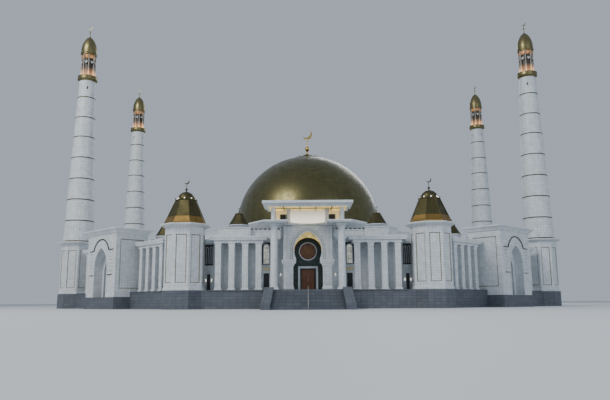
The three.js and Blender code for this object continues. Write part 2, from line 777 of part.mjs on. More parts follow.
function portalScreen() {
  const [inner, foot, top] = [screenHalfWidth - wallThickness, level(gap), level(screenTop)];
  const front = box(-screenHalfWidth, screenHalfWidth, -screenFront, -screenBack, foot, top);
  const wallFront = -hallFace - bandProjection - gap;
  const returns = boxPair(inner, screenHalfWidth, -screenBack - pastFace, wallFront, foot, top);
  const { impost, centre, apex } = screenArch;
  const heights = { sill: foot - pastFace, impost: level(impost), centre: level(centre), apex: level(apex) };
  const arch = horseshoeArch({ ...screenArch, ...heights });
  return cut(join(front, returns), upright(arch, -screenFront - pastFace, -screenBack + pastFace));
}

const porchColumnX = 830;
const porchColumnY = 8000;
const porchColumnRadius = 90;
const porchColumnBase = 105;
const porchColumnHead = 110;
const porchTop = 1680;
const porchBottom = 1610;
const porchFront = 8280;
const porchHalfWidth = 1070;
const porchSide = { halfWidth: 1500, front: 7650, back: 7060 };
const biteRadius = 475;
const biteCentre = 7975;
const biteSegments = 6;
const columnSegments = 16;
const linkHalfWidth = 700;
const linkFront = 7400;

// The porch roof has a round bite taken out of its front, over the arch.
function porch() {
  const bite = Array.from({ length: biteSegments + 1 }, (_, i) => {
    const angle = Math.PI * (1 - i / biteSegments);
    return [biteRadius * Math.cos(angle), -biteCentre + biteRadius * Math.sin(angle)];
  });
  const { halfWidth, front, back } = porchSide;
  const plan = [
    [-porchHalfWidth, -porchFront], [-biteRadius, -porchFront], ...bite, [biteRadius, -porchFront],
    [porchHalfWidth, -porchFront], [halfWidth, -front], [halfWidth, -back], [-halfWidth, -back],
    [-halfWidth, -front],
  ];
  const slab = prism(plan, level(porchBottom), level(porchTop));
  const linkHalf = linkHalfWidth + gap;
  const linkClearance = box(-linkHalf, linkHalf, -linkFront - gap, -back + pastFace,
    level(porchBottom) - pastFace, level(porchTop) + pastFace);
  const head = porchBottom + pastFace;
  const column = turned(raised([
    [0, gap], [porchColumnBase, gap], [porchColumnBase, 40], [porchColumnRadius, 50],
    [porchColumnRadius, 1500], [porchColumnHead, 1530], [porchColumnHead, head], [0, head],
  ]), columnSegments);
  const columns = [-porchColumnX, porchColumnX].map((x) => moved(column, x, -porchColumnY));
  return join(cut(slab, linkClearance), columns);
}

const canopyBottom = 2020;
const canopyTop = 2150;
const canopyStep = 2085;
const canopy = { halfWidth: 1110, front: 8300, back: 7200 };
const soffit = { halfWidth: 1030, front: 8200, back: 7300 };
const outerPost = { x: 850, y: 8000, radius: 56, headRadius: 56 };
const innerPost = { x: 485, y: 7650, radius: 45, headRadius: 70 };
const [flareFoot, flareTop] = [1930, 2000];
const postSegments = 12;
const lightWall = { halfWidth: 520, front: 7497, thickness: 60 };

function canopyTier() {
  const roof = box(-canopy.halfWidth, canopy.halfWidth, -canopy.front, -canopy.back,
    level(canopyStep), level(canopyTop));
  const under = box(-soffit.halfWidth, soffit.halfWidth, -soffit.front, -soffit.back, level(canopyBottom),
    level(canopyStep) + pastFace);
  const head = canopyBottom + pastFace;
  const posts = [outerPost, innerPost].flatMap(({ x, y, radius, headRadius }) => {
    const post = turned(raised([
      [0, porchTop + gap], [radius, porchTop + gap], [radius, flareFoot], [headRadius, flareTop],
      [headRadius, head], [0, head],
    ]), postSegments);
    return [moved(post, -x, -y), moved(post, x, -y)];
  });
  const { halfWidth, front, thickness } = lightWall;
  const wall = box(-halfWidth, halfWidth, -front, -front + thickness, level(porchTop) + gap, level(head));
  return join(roof, under, posts, wall);
}

function portalLink() {
  const top = level(canopyBottom) - pastFace;
  const back = -blockFace - gap;
  const block = box(-linkHalfWidth, linkHalfWidth, -linkFront, back, level(roofTop) + gap, top);
  const inner = linkHalfWidth - wallThickness;
  const ceiling = top - slabThickness;
  const hollow = box(-inner, inner, -linkFront - pastFace, back + pastFace, level(roofTop), ceiling);
  return cut(block, hollow);
}

addPart('portal_screen', portalScreen(), marble);
addPart('portal_porch', porch(), marble);
addPart('portal_canopy', canopyTier(), marble);
addPart('portal_link', portalLink(), marble);

// Over the door: a slab with a round window in it

const roseRing = 42;
const rosePaneBack = 50;
const rosePane = 10;
const roseProjection = 15;
const roseSegments = 28;

// A turned profile laid on its side, so that its z axis runs to the front
const facingFront = (solid) => solid.rotate([90, 0, 0]).translate([0, 0, level(roseZ)]);

function roseWindow() {
  const [front, back] = [entranceFront + roseProjection, entranceBack];
  const [rim, eye] = [roseRadius - gap, roseRadius - roseRing];
  const pane = front - rosePaneBack;
  return facingFront(turned([
    [0, pane], [eye, pane], [eye, front], [rim, front], [rim, back], [eye, back], [eye, pane - rosePane],
    [0, pane - rosePane],
  ], roseSegments));
}

function overDoor() {
  const slab = box(-entranceHalfWidth, entranceHalfWidth, -entranceFront, -entranceBack,
    level(doorHead), level(screenTop));
  const [near, far] = [entranceFront + pastFace, entranceBack - pastFace];
  const hole = turned([[0, far], [roseRadius, far], [roseRadius, near], [0, near]], roseSegments);
  return cut(slab, facingFront(hole));
}

addPart('entrance_wall_over', overDoor(), darkMarble);
addPart('entrance_rose_window', roseWindow(), tintedGlass);

// Two door leaves, each turning on pivots at its outer edge

const leafGap = 5;
const leafThickness = 12;
const pivotX = 157;
const doorY = 7150;
const leafEdge = 163;
const pivotRadius = 4;
const pivotSegments = 12;

function doorLeaf() {
  const y = -doorY + leafThickness / 2;
  const [foot, head] = [level(leafGap), level(doorHead - leafGap)];
  const panel = box(leafGap / 2, leafEdge, -doorY, -doorY + leafThickness, foot, head);
  const pivot = turned(raised([
    [0, gap], [pivotRadius, gap], [pivotRadius, doorHead - gap], [0, doorHead - gap],
  ]), pivotSegments);
  return join(panel, moved(pivot, pivotX, y));
}
addPart('door_leaf_right', doorLeaf(), carvedWood);
addPart('door_leaf_left', doorLeaf().mirror([1, 0, 0]), carvedWood);

export default building;
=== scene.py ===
import math

import bpy
from mathutils import Matrix, Vector


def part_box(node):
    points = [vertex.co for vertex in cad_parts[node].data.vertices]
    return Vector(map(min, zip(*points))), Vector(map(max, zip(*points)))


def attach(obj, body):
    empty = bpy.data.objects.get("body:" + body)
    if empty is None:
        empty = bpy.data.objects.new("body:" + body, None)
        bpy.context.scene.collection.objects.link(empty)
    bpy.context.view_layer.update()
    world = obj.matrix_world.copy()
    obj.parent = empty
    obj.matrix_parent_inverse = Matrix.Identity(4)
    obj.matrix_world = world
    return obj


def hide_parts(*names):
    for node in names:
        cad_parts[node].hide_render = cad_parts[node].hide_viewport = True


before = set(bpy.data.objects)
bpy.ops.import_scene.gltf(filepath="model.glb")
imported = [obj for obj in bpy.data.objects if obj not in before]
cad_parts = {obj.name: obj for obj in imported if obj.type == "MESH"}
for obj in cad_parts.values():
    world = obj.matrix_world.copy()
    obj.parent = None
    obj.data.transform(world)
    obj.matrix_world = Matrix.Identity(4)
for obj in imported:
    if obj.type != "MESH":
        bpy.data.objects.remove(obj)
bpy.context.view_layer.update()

# Camera
# It stands low in front of the steps, on the building's centre line and below its floor, and looks up.
camera_data = bpy.data.cameras.new("front_view")
camera_data.sensor_width = 36
camera_data.lens = 35.55
camera_data.shift_x = 0.0043
camera_data.clip_end = 500
camera = bpy.data.objects.new("front_view", camera_data)
bpy.context.scene.collection.objects.link(camera)
bpy.context.scene.camera = camera
camera_place = (0, -22.747, 0.16)
upward_pitch = math.radians(9.627)
camera_roll = math.radians(-0.33)
camera_turn = math.radians(0.5)
camera.matrix_world = (
    Matrix.Translation(camera_place)
    @ Matrix.Rotation(camera_turn, 4, "Z")
    @ Matrix.Rotation(math.pi / 2 + upward_pitch, 4, "X")
    @ Matrix.Rotation(camera_roll, 4, "Z")
)

# Podium
# The terrace that the whole building stands on: masonry faced with dark honed stone slabs, laid in level
# courses, with a projecting coping along its top edge. All heights below are measured from its top.
podium_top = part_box("podium")[1].z


def fill(node, inputs):
    """Sets a shader node's inputs. Each is a value, or the socket that feeds it."""
    for key, value in inputs.items():
        if isinstance(value, bpy.types.NodeSocket):
            node.id_data.links.new(value, node.inputs[key])
        else:
            node.inputs[key].default_value = value


def add_node(tree, kind, inputs=None, output=0, **settings):
    """Adds a shader node and gives one of its outputs."""
    made = tree.nodes.new("ShaderNode" + kind)
    for key, value in settings.items():
        setattr(made, key, value)
    fill(made, inputs or {})
    return made.outputs[output]


def calc(tree, operation, *values, **settings):
    return add_node(tree, "Math", dict(enumerate(values)), operation=operation, **settings)


def spread(tree, value, low, high, new_low=0.0, new_high=1.0, **settings):
    """A value carried over from one range to another."""
    return add_node(tree, "MapRange", {0: value, 1: low, 2: high, 3: new_low, 4: new_high}, **settings)


def mixed(tree, share, *tones):
    """A mix of two colours, each a tone or a socket."""
    first, second = [tone if isinstance(tone, bpy.types.NodeSocket) else (*tone, 1) for tone in tones]
    return add_node(tree, "Mix", {0: share, 6: first, 7: second}, output=2, data_type="RGBA")


def scaled(tree, colour, share):
    return add_node(tree, "VectorMath", {0: colour, "Scale": share}, operation="SCALE")


def clouded(tree, scale, detail, roughness=0.5, distortion=0.0, stretch=None):
    """Soft clouds all through the piece, from 0 to 1."""
    place = add_node(tree, "TexCoord", output="Object")
    if stretch:
        place = add_node(tree, "Mapping", {"Vector": place, "Scale": stretch})
    return add_node(tree, "TexNoise", {
        "Vector": place, "Scale": scale, "Detail": detail, "Roughness": roughness, "Distortion": distortion,
    })


def relief(tree, height, strength, distance):
    return add_node(tree, "Bump", {"Strength": strength, "Distance": distance, "Height": height})


def new_finish(name, roughness, metallic=0.0):
    """A new finish, with its tree and its shader."""
    finish = bpy.data.materials.new(name)
    finish.use_nodes = True
    shader = finish.node_tree.nodes["Principled BSDF"]
    fill(shader, {"Roughness": roughness, "Metallic": metallic})
    return finish, finish.node_tree, shader


def wall_grid(tree):
    """Where a point lies on an upright wall of any direction: how far along it, and how high. On a level
    face it is where the point lies in the plan."""
    place = add_node(tree, "TexCoord", output="Object")
    normal = add_node(tree, "TexCoord", output="Normal")
    sideways = add_node(tree, "VectorMath", {0: (0, 0, 1), 1: normal}, operation="CROSS_PRODUCT")
    facing = add_node(tree, "VectorMath", {0: sideways}, operation="NORMALIZE")
    along = add_node(tree, "VectorMath", {0: place, 1: facing}, output="Value", operation="DOT_PRODUCT")
    height = add_node(tree, "SeparateXYZ", {0: place}, output="Z")
    on_wall = add_node(tree, "CombineXYZ", {0: along, 1: height})
    steep = calc(tree, "ABSOLUTE", add_node(tree, "SeparateXYZ", {0: normal}, output="Z"))
    is_level = calc(tree, "GREATER_THAN", steep, 0.7)
    return add_node(tree, "Mix", {0: is_level, 4: on_wall, 5: place}, output=1, data_type="VECTOR")


def facing_stone(name, slab, tones, joint_tone, roughness, grain, wrapped=None, joint=0.004):
    """Stone facing: slabs of two tones with fine joints, clouded and veined, and a little relief at the
    joints. Wrapped facing follows the piece's own unwrapped surface, whose full width and height it is
    given."""
    finish, tree, shader = new_finish(name, roughness)
    if wrapped:
        surface = add_node(tree, "TexCoord", output="UV")
        grid = add_node(tree, "VectorMath", {0: surface, 1: (*wrapped, 0)}, operation="MULTIPLY")
    else:
        grid = wall_grid(tree)
    slabs = add_node(tree, "TexBrick", {
        "Vector": grid, "Color1": (*tones[0], 1), "Color2": (*tones[1], 1), "Mortar": (*joint_tone, 1),
        "Scale": 1, "Mortar Size": joint, "Mortar Smooth": 0.2, "Brick Width": slab[0], "Row Height": slab[1],
    }, offset=0.0)
    clouds = clouded(tree, grain, 6, 0.6)
    veins = clouded(tree, grain * 0.45, 8, 0.7, 1.6)
    vein = calc(tree, "MULTIPLY", spread(tree, veins, 0.485, 0.5), spread(tree, veins, 0.5, 0.515, 1.0, 0.0))
    shaded = scaled(tree, slabs, spread(tree, clouds, 0.3, 0.7, 0.86, 1.08))
    between_joints = calc(tree, "SUBTRACT", 1.0, slabs.node.outputs["Fac"])
    fill(shader, {
        "Base Color": mixed(tree, calc(tree, "MULTIPLY", vein, 0.22), shaded, joint_tone),
        "Roughness": spread(tree, clouds, 0.3, 0.7, roughness - 0.06, roughness + 0.08),
        "Normal": relief(tree, between_joints, 0.5, 0.003),
    })
    return finish


dark_stone = facing_stone(
    "dark_honed_stone", (0.16, 0.077), [(0.085, 0.1, 0.125), (0.115, 0.13, 0.155)], (0.045, 0.05, 0.06),
    0.5, 14,
)


def dress(nodes, finish):
    """Gives CAD nodes a finish."""
    for node in nodes:
        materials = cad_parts[node].data.materials
        materials.clear()
        materials.append(finish)


dress(["podium"], dark_stone)


def edit(mode="EDIT"):
    bpy.ops.object.mode_set(mode=mode)


def start(name, primitive, **settings):
    """Adds a primitive with nothing else selected, its place in its mesh."""
    bpy.ops.object.select_all(action="DESELECT")
    primitive(**settings)
    bpy.ops.object.transform_apply(location=True, rotation=True, scale=True)
    bpy.context.object.name = name
    return bpy.context.object


def pick(*pieces):
    bpy.ops.object.select_all(action="DESELECT")
    for piece in pieces:
        piece.select_set(True)
    bpy.context.view_layer.objects.active = pieces[0]


def block(name, x, y, z, edge=0.003):
    """A squared block between (low, high) pairs, its edges dressed off. A single x is half its width."""
    sides = (x if isinstance(x, tuple) else (-x, x), y, z)
    middle = [(low + high) / 2 for low, high in sides]
    size = [high - low for low, high in sides]
    piece = start(name, bpy.ops.mesh.primitive_cube_add, size=1, location=middle, scale=size)
    edit()
    bpy.ops.mesh.bevel(offset=edge, segments=1, affect="EDGES")
    edit("OBJECT")
    return piece


def block_pair(name, x, y, z, edge=0.003):
    """The same block on the left and on the right."""
    return [block(name, (-x[1], -x[0]), y, z, edge), block(name, x, y, z, edge)]


def depths(face, front, behind):
    """From one distance in front of a face to another behind it."""
    return (face - front, face + behind)


def shift(x=0.0, y=0.0, z=0.0):
    return Matrix.Translation((x, y, z))


def turned(degrees):
    return Matrix.Rotation(math.radians(degrees), 4, "Z")


def placed(piece, matrix):
    """Moves a piece within its mesh."""
    piece.data.transform(matrix)
    if matrix.determinant() < 0:
        piece.data.flip_normals()
    return piece


def copied(piece, matrix):
    """A copy with its own mesh, its place in the mesh."""
    twin = piece.copy()
    twin.data = piece.data.copy()
    bpy.context.scene.collection.objects.link(twin)
    return placed(twin, matrix)


def joined(name, pieces):
    pick(*pieces)
    if len(pieces) > 1:
        bpy.ops.object.join()
    pieces[0].name = name
    return pieces[0]


def repeated(piece, places):
    """The piece at each of the places, as one mesh. The model itself goes."""
    copies = [copied(piece, place) for place in places]
    name = piece.name
    bpy.data.objects.remove(piece)
    return joined(name, copies)


def settle(name, parts, finish, places=None, body="building", stands_for=()):
    """Finishes a piece: joins its parts, repeats them at their places and lifts them onto the podium, gives
    the piece its finish and the body that it rides on, and hides the CAD nodes that it stands for."""
    piece = joined("model", parts if isinstance(parts, list) else [parts])
    if places:
        piece = repeated(piece, places)
    piece.name = name
    placed(piece, shift(z=podium_top))
    finishes = finish if isinstance(finish, list) else [finish]
    if list(piece.data.materials) != finishes:
        piece.data.materials.clear()
        for material in finishes:
            piece.data.materials.append(material)
    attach(piece, body)
    if stands_for:
        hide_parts(*stands_for)


mirror_x = Matrix.Scale(-1, 4, (1, 0, 0))
halves = (Matrix.Identity(4), mirror_x)
podium_face = -7.76
coping_end = 2.46
gateway_clear = 0.88
portal_clear = 1.07
coping = []
for side in range(8):
    first = portal_clear if side == 0 else gateway_clear if side % 2 else 0
    bar = block("coping", (first, coping_end), depths(podium_face, 0.02, 0.06), (-0.022, 0.006))
    coping.append(repeated(bar, [turned(45 * side) @ half for half in halves]))
settle("podium_coping", coping, dark_stone)

# Front steps
# Two flights of dark stone treads between cheek walls, each wall capped with slabs. A pale metal handrail
# on turned posts runs down the middle, its posts leaded into the treads.
dress(["steps_upper", "steps_lower", "steps_wall_right", "steps_wall_left"], dark_stone)


def drawn_up(name, sides, rings):
    """A flat polygon drawn up through rings of (reach, height) or (reach_x, reach_y, height), and shaded
    smooth if it has over 8 sides. Reach is measured to the middle of a side. A last ring of reach 0 closes
    in a point."""
    rings = [ring if len(ring) == 3 else (ring[0], *ring) for ring in rings]
    x, y, z = rings[0]
    corner = 1 / math.cos(math.pi / sides) if sides <= 8 else 1
    piece = start(
        name, bpy.ops.mesh.primitive_circle_add, vertices=sides, radius=corner, fill_type="NGON",
        location=(0, 0, z), rotation=(0, 0, math.pi / sides),
    )
    edit()
    bpy.ops.transform.resize(value=(x, y, 1), center_override=(0, 0, z))
    for next_x, next_y, next_z in rings[1:]:
        bpy.ops.mesh.extrude_region_move(TRANSFORM_OT_translate={"value": (0, 0, next_z - z)})
        if next_x == 0:
            bpy.ops.mesh.merge(type="CENTER")
        else:
            bpy.ops.transform.resize(value=(next_x / x, next_y / y, 1), center_override=(0, 0, next_z))
        x, y, z = next_x, next_y, next_z
    bpy.ops.mesh.select_all(action="SELECT")
    bpy.ops.mesh.normals_make_consistent(inside=False)
    edit("OBJECT")
    if sides > 8:
        bpy.ops.object.shade_smooth_by_angle(angle=math.radians(40))
    return piece


def disc(name, radius, depth, place, vertices=32, rotation=(math.pi / 2, 0, 0), **settings):
    """A round piece with flat ends, which faces the front unless it is turned."""
    return start(
        name, bpy.ops.mesh.primitive_cylinder_add, vertices=vertices, radius=radius, depth=depth,
        location=place, rotation=rotation, **settings,
    )


def rod_between(name, start_point, end_point, radius, vertices=10, past=0.0):
    """A round rod from one point to another, or a little past both."""
    run = end_point - start_point
    turn = run.to_track_quat("Z", "Y").to_euler()
    return disc(name, radius, run.length + 2 * past, (start_point + end_point) / 2, vertices, turn)


pale_metal, tree, shader = new_finish("pale_handrail_metal", 0.35, 0.8)
fill(shader, {"Base Color": mixed(tree, clouded(tree, 160, 3), (0.55, 0.55, 0.5), (0.75, 0.75, 0.7))})
rail_low, rail_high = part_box("steps_handrail")
rail_foot = Vector((0, -9.72, rail_low.z + 0.087 - podium_top))
rail_head = Vector((0, -8.45, rail_high.z - 0.008 - podium_top))
post_count = 7
rail_parts = []
for i in range(post_count):
    head = rail_foot.lerp(rail_head, i / (post_count - 1))
    post = drawn_up("post", 12, [(reach, head.z - drop) for reach, drop in [
        (0.011, 0.09), (0.011, 0.084), (0.005, 0.08), (0.005, 0.02), (0.008, 0.016), (0.005, 0.012),
        (0.005, 0),
    ]])
    rail_parts.append(placed(post, shift(y=head.y)))
for drop, radius in [(0, 0.007), (0.035, 0.004)]:
    below = Vector((0, 0, -drop))
    rail_parts.append(rod_between("rail", rail_foot + below, rail_head + below, radius, 12, 0.01))
    edit()
    bpy.ops.mesh.bevel(offset=radius * 0.3, segments=2, affect="EDGES", clamp_overlap=True)
    edit("OBJECT")
settle("steps_rail", rail_parts, pale_metal, stands_for=["steps_handrail"])

# Hall walls
# The outer walls of the prayer hall: masonry faced with white marble slabs fixed in level courses, with a
# sloped band under the roof. Windows and doorways are cut through them.
white_tones = [(0.70, 0.74, 0.77), (0.60, 0.645, 0.68)]
marble_joint = (0.44, 0.475, 0.48)
white_marble = facing_stone(
    "white_marble_slabs", (0.09, 0.065), white_tones, marble_joint, 0.42, 6, joint=0.003
)
smooth_marble = facing_stone("white_marble_trim", (0.6, 0.5), white_tones, marble_joint, 0.36, 9, joint=0.002)
side_names = ["right_front", "right", "right_back", "back", "left_back", "left", "left_front"]
dress(["hall_wall_front_right", "hall_wall_front_left", "ring_roof"], white_marble)
dress([f"hall_side_{name}" for name in side_names], white_marble)

# Windows and side doorways
# Each bay has a dark bronze panel fixed on the wall, with a white marble arch round its glass and slim
# bars. Below it sit a plate of amber onyx and a pair of dark panelled leaves in a stone frame, with a lamp
# on each side.
wall_y = -7.045


def faces_front(face):
    return face.normal.y < -0.9


def carved(piece, *tools, operation="DIFFERENCE"):
    """Cuts the tools out of the piece, or keeps what they share. The tools go."""
    pick(piece)
    for tool in tools:
        cutter = piece.modifiers.new("carve", "BOOLEAN")
        cutter.operation = operation
        cutter.object = tool
        bpy.ops.object.modifier_apply(modifier=cutter.name)
        bpy.data.objects.remove(tool)
    return piece


def sliced(piece, point, normal, **settings):
    """Cuts a piece all through with a plane."""
    pick(piece)
    edit()
    bpy.ops.mesh.select_all(action="SELECT")
    bpy.ops.mesh.bisect(plane_co=point, plane_no=normal, **settings)
    edit("OBJECT")


def choose(piece, wanted):
    """Selects the faces that fit, and opens the piece for editing."""
    chosen = [wanted(face) for face in piece.data.polygons]
    pick(piece)
    edit()
    bpy.ops.mesh.select_mode(type="FACE")
    bpy.ops.mesh.select_all(action="DESELECT")
    edit("OBJECT")
    piece.data.polygons.foreach_set("select", chosen)
    edit()


def sunk(piece, wanted, steps):
    """Insets the chosen faces one by one, by each (margin, rise) in turn."""
    choose(piece, wanted)
    for margin, rise in steps:
        bpy.ops.mesh.inset(thickness=margin, depth=rise, use_individual=True)
    edit("OBJECT")
    return piece


def arch_body(name, half, heights, y, waist=None, vertices=64):
    """A solid with a pointed arch for a head, between its foot, springing and apex heights. Two discs share
    its head, which is cut at the springing, or lower at the waist of a horseshoe arch, and drawn down to
    the foot."""
    foot, springing, apex = heights
    rise = apex - springing
    offset = (rise * rise - half * half) / (2 * half)
    left, right = [
        disc(name, half + offset, y[1] - y[0], (hand * offset, sum(y) / 2, springing), vertices)
        for hand in (-1, 1)
    ]
    head = carved(left, right, operation="INTERSECT")
    cut_height = springing if waist is None else waist
    sliced(head, (0, 0, cut_height), (0, 0, 1), use_fill=True, clear_inner=True)
    choose(head, lambda face: face.normal.z < -0.9 and abs(face.center.z - cut_height) < 1e-4)
    bpy.ops.mesh.extrude_region_move(TRANSFORM_OT_translate={"value": (0, 0, foot - cut_height)})
    edit("OBJECT")
    return head


def arch_band(name, half, heights, y, width):
    """The moulding that stands round a pointed arch."""
    foot, springing, apex = heights
    outer = arch_body(name, half + width, (foot, springing, apex + width * 1.15), y)
    return carved(outer, arch_body("inner", half, (foot - 0.01, springing, apex), (y[0] - 0.01, y[1] + 0.01)))


def framed_opening(name, half, top, width, y):
    """A squared frame round a doorway that starts at the floor."""
    outer = block(name, half + width, y, (0.0005, top + width), 0.002)
    return carved(outer, block("inner", half, (y[0] - 0.01, y[1] + 0.01), (-0.02, top), 0.0005))


def panelled_leaf(x, top):
    """A door leaf with four sunk panels."""
    height = (top - 0.004) / 4
    panels = []
    for row in range(4):
        low = 0.003 + row * height
        panel = block("panel", x, depths(wall_y, -0.012, 0.022), (low, low + height), 0.0008)
        panels.append(sunk(panel, faces_front, [(0.009, 0), (0.003, -0.004), (0.004, 0.002)]))
    return joined("leaf", panels)


def lamp_pair(x, foot=0.235):
    """Two short lit tubes that stand off the wall at x and -x."""
    rings = [(0.004, 0), (0.0065, 0.003), (0.0065, 0.065), (0.004, 0.068)]
    tube = drawn_up("tube", 12, [(reach, foot + height) for reach, height in rings])
    return repeated(tube, [shift(hand * x, wall_y - 0.012) for hand in (-1, 1)])


def lit_glass(name, tone, strength, roughness=0.12):
    """A surface that gives off warm or white light in soft clouds. Lamps and windows let it through; on the
    canopy's soffit and the arch lining it is painted glow.
    """
    finish, tree, shader = new_finish(name, roughness)
    colour = scaled(tree, tone, spread(tree, clouded(tree, 9, 2), 0.3, 0.7, 0.45, 1.1))
    fill(shader, {"Emission Color": colour, "Base Color": colour, "Emission Strength": strength})
    return finish


def plain_finish(name, tones, roughness, metallic, scale, bump, stretch=None):
    """A finish of two clouded tones with a fine uneven surface."""
    finish, tree, shader = new_finish(name, roughness, metallic)
    clouds = clouded(tree, scale, 5, 0.6, stretch=stretch)
    fill(shader, {
        "Base Color": mixed(tree, spread(tree, clouds, 0.3, 0.7), *tones),
        "Roughness": spread(tree, clouds, 0.3, 0.7, roughness - 0.05, roughness + 0.07),
        "Normal": relief(tree, clouds, bump, 0.002),
    })
    return finish


# Dark bronze for the window panels, bars and jambs. On the gateway hoods and in the canopy's rear openings,
# the same colour is painted shade.
dark_bronze_and_painted_shade = plain_finish("dark_bronze_and_painted_shade", [(0.025, 0.03, 0.03), (0.05, 0.05, 0.045)], 0.42, 0.6, 30, 0.2)
amber_onyx = plain_finish("amber_onyx", [(0.62, 0.52, 0.28), (0.78, 0.70, 0.45)], 0.3, 0, 25, 0.1)
# Dark stained leaves for the doorways. The same finish is painted shade behind the minaret slits.
dark_leaf_and_painted_shade = plain_finish("dark_stained_leaf_and_painted_shade", [(0.02, 0.022, 0.026), (0.04, 0.04, 0.044)], 0.4, 0, 40, 0.2)
window_glass = lit_glass("lit_window_glass", (0.72, 0.72, 0.62), 0.45)
dim_glass = lit_glass("dim_window_glass", (0.055, 0.06, 0.06), 0.1)
lamp_glass = lit_glass("lamp_glass", (1.0, 0.94, 0.8), 2.0)

long_bays = [-2.04, -1.02, 0, 1.02, 2.04]
wall_bays = [(0, x) for x in (-1.08, 1.08)]
wall_bays += [(side, x) for side in (1, 3, 5, 7) for x in (-1.96, 1.96)]
wall_bays += [(side, x) for side in (2, 4, 6) for x in long_bays]
bay_places = [turned(45 * side) @ shift(x) for side, x in wall_bays]
panel_y = depths(wall_y, 0.008, -0.0005)
hole_y = depths(wall_y, 0.05, 0.05)
pane_y = depths(wall_y, -0.018, 0.022)
doorway_y = depths(wall_y, 0.012, 0.03)
bar_y = depths(wall_y, -0.008, 0.017)

bronze_panel = block("panel", 0.116, panel_y, (0.668, 1.238), 0.002)
carved(bronze_panel, arch_body("hole", 0.0835, (0.701, 1.12, 1.208), hole_y))
settle("window_panels", bronze_panel, dark_bronze_and_painted_shade, bay_places)
arch_frame = arch_band("frame", 0.064, (0.702, 1.115, 1.18), depths(wall_y, 0.016, 0.03), 0.019)
sill = block("sill", 0.1, depths(wall_y, 0.024, 0.01), (0.684, 0.701))
settle("window_frames", [arch_frame, sill], smooth_marble, bay_places)
pane = arch_body("pane", 0.066, (0.704, 1.115, 1.182), pane_y, vertices=32)
settle("window_panes", pane, window_glass, bay_places)
bars = [block("bar", (x - 0.002, x + 0.002), bar_y, (0.703, 1.12), 0.0008) for x in (-0.022, 0.022)]
bars += [block("bar", 0.064, bar_y, (z - 0.002, z + 0.002), 0.0008) for z in (0.8, 0.9, 1.0, 1.1)]
settle("window_bars", bars, dark_bronze_and_painted_shade, bay_places)
plate = block("plate", 0.094, depths(wall_y, 0.009, -0.0005), (0.515, 0.595))
sunk(plate, faces_front, [(0.008, 0), (0.003, -0.003)])
settle("doorway_plates", plate, amber_onyx, bay_places)
door_frame = framed_opening("frame", 0.0735, 0.444, 0.018, doorway_y)
settle("side_doorway_frames", door_frame, smooth_marble, bay_places)
leaf_pair = repeated(panelled_leaf((0.0008, 0.0733), 0.443), halves)
settle("side_doorway_leaves", leaf_pair, dark_leaf_and_painted_shade, bay_places)
settle("wall_lamps", lamp_pair(0.125), lamp_glass, bay_places)

# The bays beside the pavilions have a pair of slender lights in one dark panel instead.
far_bays = [shift(x) for x in (-2.575, 2.575)]
pair_of_lights = [shift(x) for x in (-0.05, 0.05)]
slim_panel = block("panel", 0.108, panel_y, (0.655, 1.2), 0.002)
slim_holes = repeated(arch_body("hole", 0.0315, (0.691, 1.1, 1.144), hole_y, vertices=32), pair_of_lights)
settle("slender_window_panels", carved(slim_panel, slim_holes), dark_bronze_and_painted_shade, far_bays)
slim_arch = arch_band("frame", 0.022, (0.692, 1.097, 1.128), depths(wall_y, 0.014, 0.03), 0.0093)
slim_pane = arch_body("pane", 0.024, (0.694, 1.097, 1.13), pane_y, vertices=32)
settle("slender_window_frames", repeated(slim_arch, pair_of_lights), smooth_marble, far_bays)
settle("slender_window_panes", repeated(slim_pane, pair_of_lights), dim_glass, far_bays)
slim_frame = framed_opening("frame", 0.0435, 0.428, 0.014, doorway_y)
settle("slender_doorway_frames", slim_frame, smooth_marble, far_bays)
slim_leaf = panelled_leaf((-0.0433, 0.0433), 0.427)
settle("slender_doorway_leaves", slim_leaf, dark_leaf_and_painted_shade, far_bays)
settle("slender_doorway_lamps", lamp_pair(0.075), lamp_glass, far_bays)

# Porticoes
# Square marble piers carry a slab round each side of the hall. Every pier has a moulded base and cap, with
# a flat pilaster behind it on the wall and framed panels between them, and the slab's edge is a run of cut
# mouldings.
column_y = -7.55
spacing = 0.34
front_columns = [1.24 + spacing * i for i in range(4)]
diagonal_columns = [1.12 + spacing * i for i in range(4)]
long_columns = [spacing * (i - 6.5) for i in range(14)]
dress(["portico_front_right", "portico_front_left"], white_marble)
rows = [(half, front_columns, [1.08]) for half in halves]
rows += [(turned(45 * side) @ half, diagonal_columns, [1.96]) for side in (1, 3, 5, 7) for half in halves]
rows += [(turned(90 * side), long_columns, long_bays) for side in (1, 2, 3)]
column_places = [place @ shift(x, column_y) for place, columns, bays in rows for x in columns]


def wall_places(beside, clear):
    """Places on the wall at the columns, or beside them, that keep clear of the window bays."""
    return [
        place @ shift(x + beside) for place, columns, bays in rows for x in columns
        if x + beside < columns[-1] + 0.01 and all(abs(x + beside - bay) > clear for bay in bays)
    ]


def moulding(name, half_x, half_y, steps):
    """A course of mouldings round a rectangle. Each step is how far out, and how high."""
    return drawn_up(name, 4, [(half_x + out, half_y + out, z) for out, z in steps])


pier_half = 0.0728
pier_base = drawn_up("base", 4, [
    (0.094, 0.0005), (0.094, 0.026), (0.088, 0.032), (0.088, 0.046), (0.08, 0.054), (pier_half, 0.058),
])
pier_cap = drawn_up("cap", 4, [
    (pier_half, 1.096), (0.079, 1.102), (0.079, 1.114), (0.075, 1.12), (0.075, 1.15), (0.086, 1.164),
    (0.094, 1.17), (0.094, 1.1855),
])
settle("pier_bases_and_caps", [pier_base, pier_cap], smooth_marble, column_places)
pilaster = block("pilaster", 0.058, depths(wall_y, 0.014, 0.001), (0.0005, 1.184))
sunk(pilaster, faces_front, [(0.014, 0), (0.003, -0.004)])
settle("wall_pilasters", pilaster, smooth_marble, wall_places(0, 0.19))
wall_panel = block("panel", 0.088, depths(wall_y, 0.008, 0.001), (0.1, 1.09), 0.002)
sunk(wall_panel, faces_front, [(0.012, 0), (0.004, -0.005)])
settle("wall_panels", wall_panel, smooth_marble, wall_places(spacing / 2, 0.21))

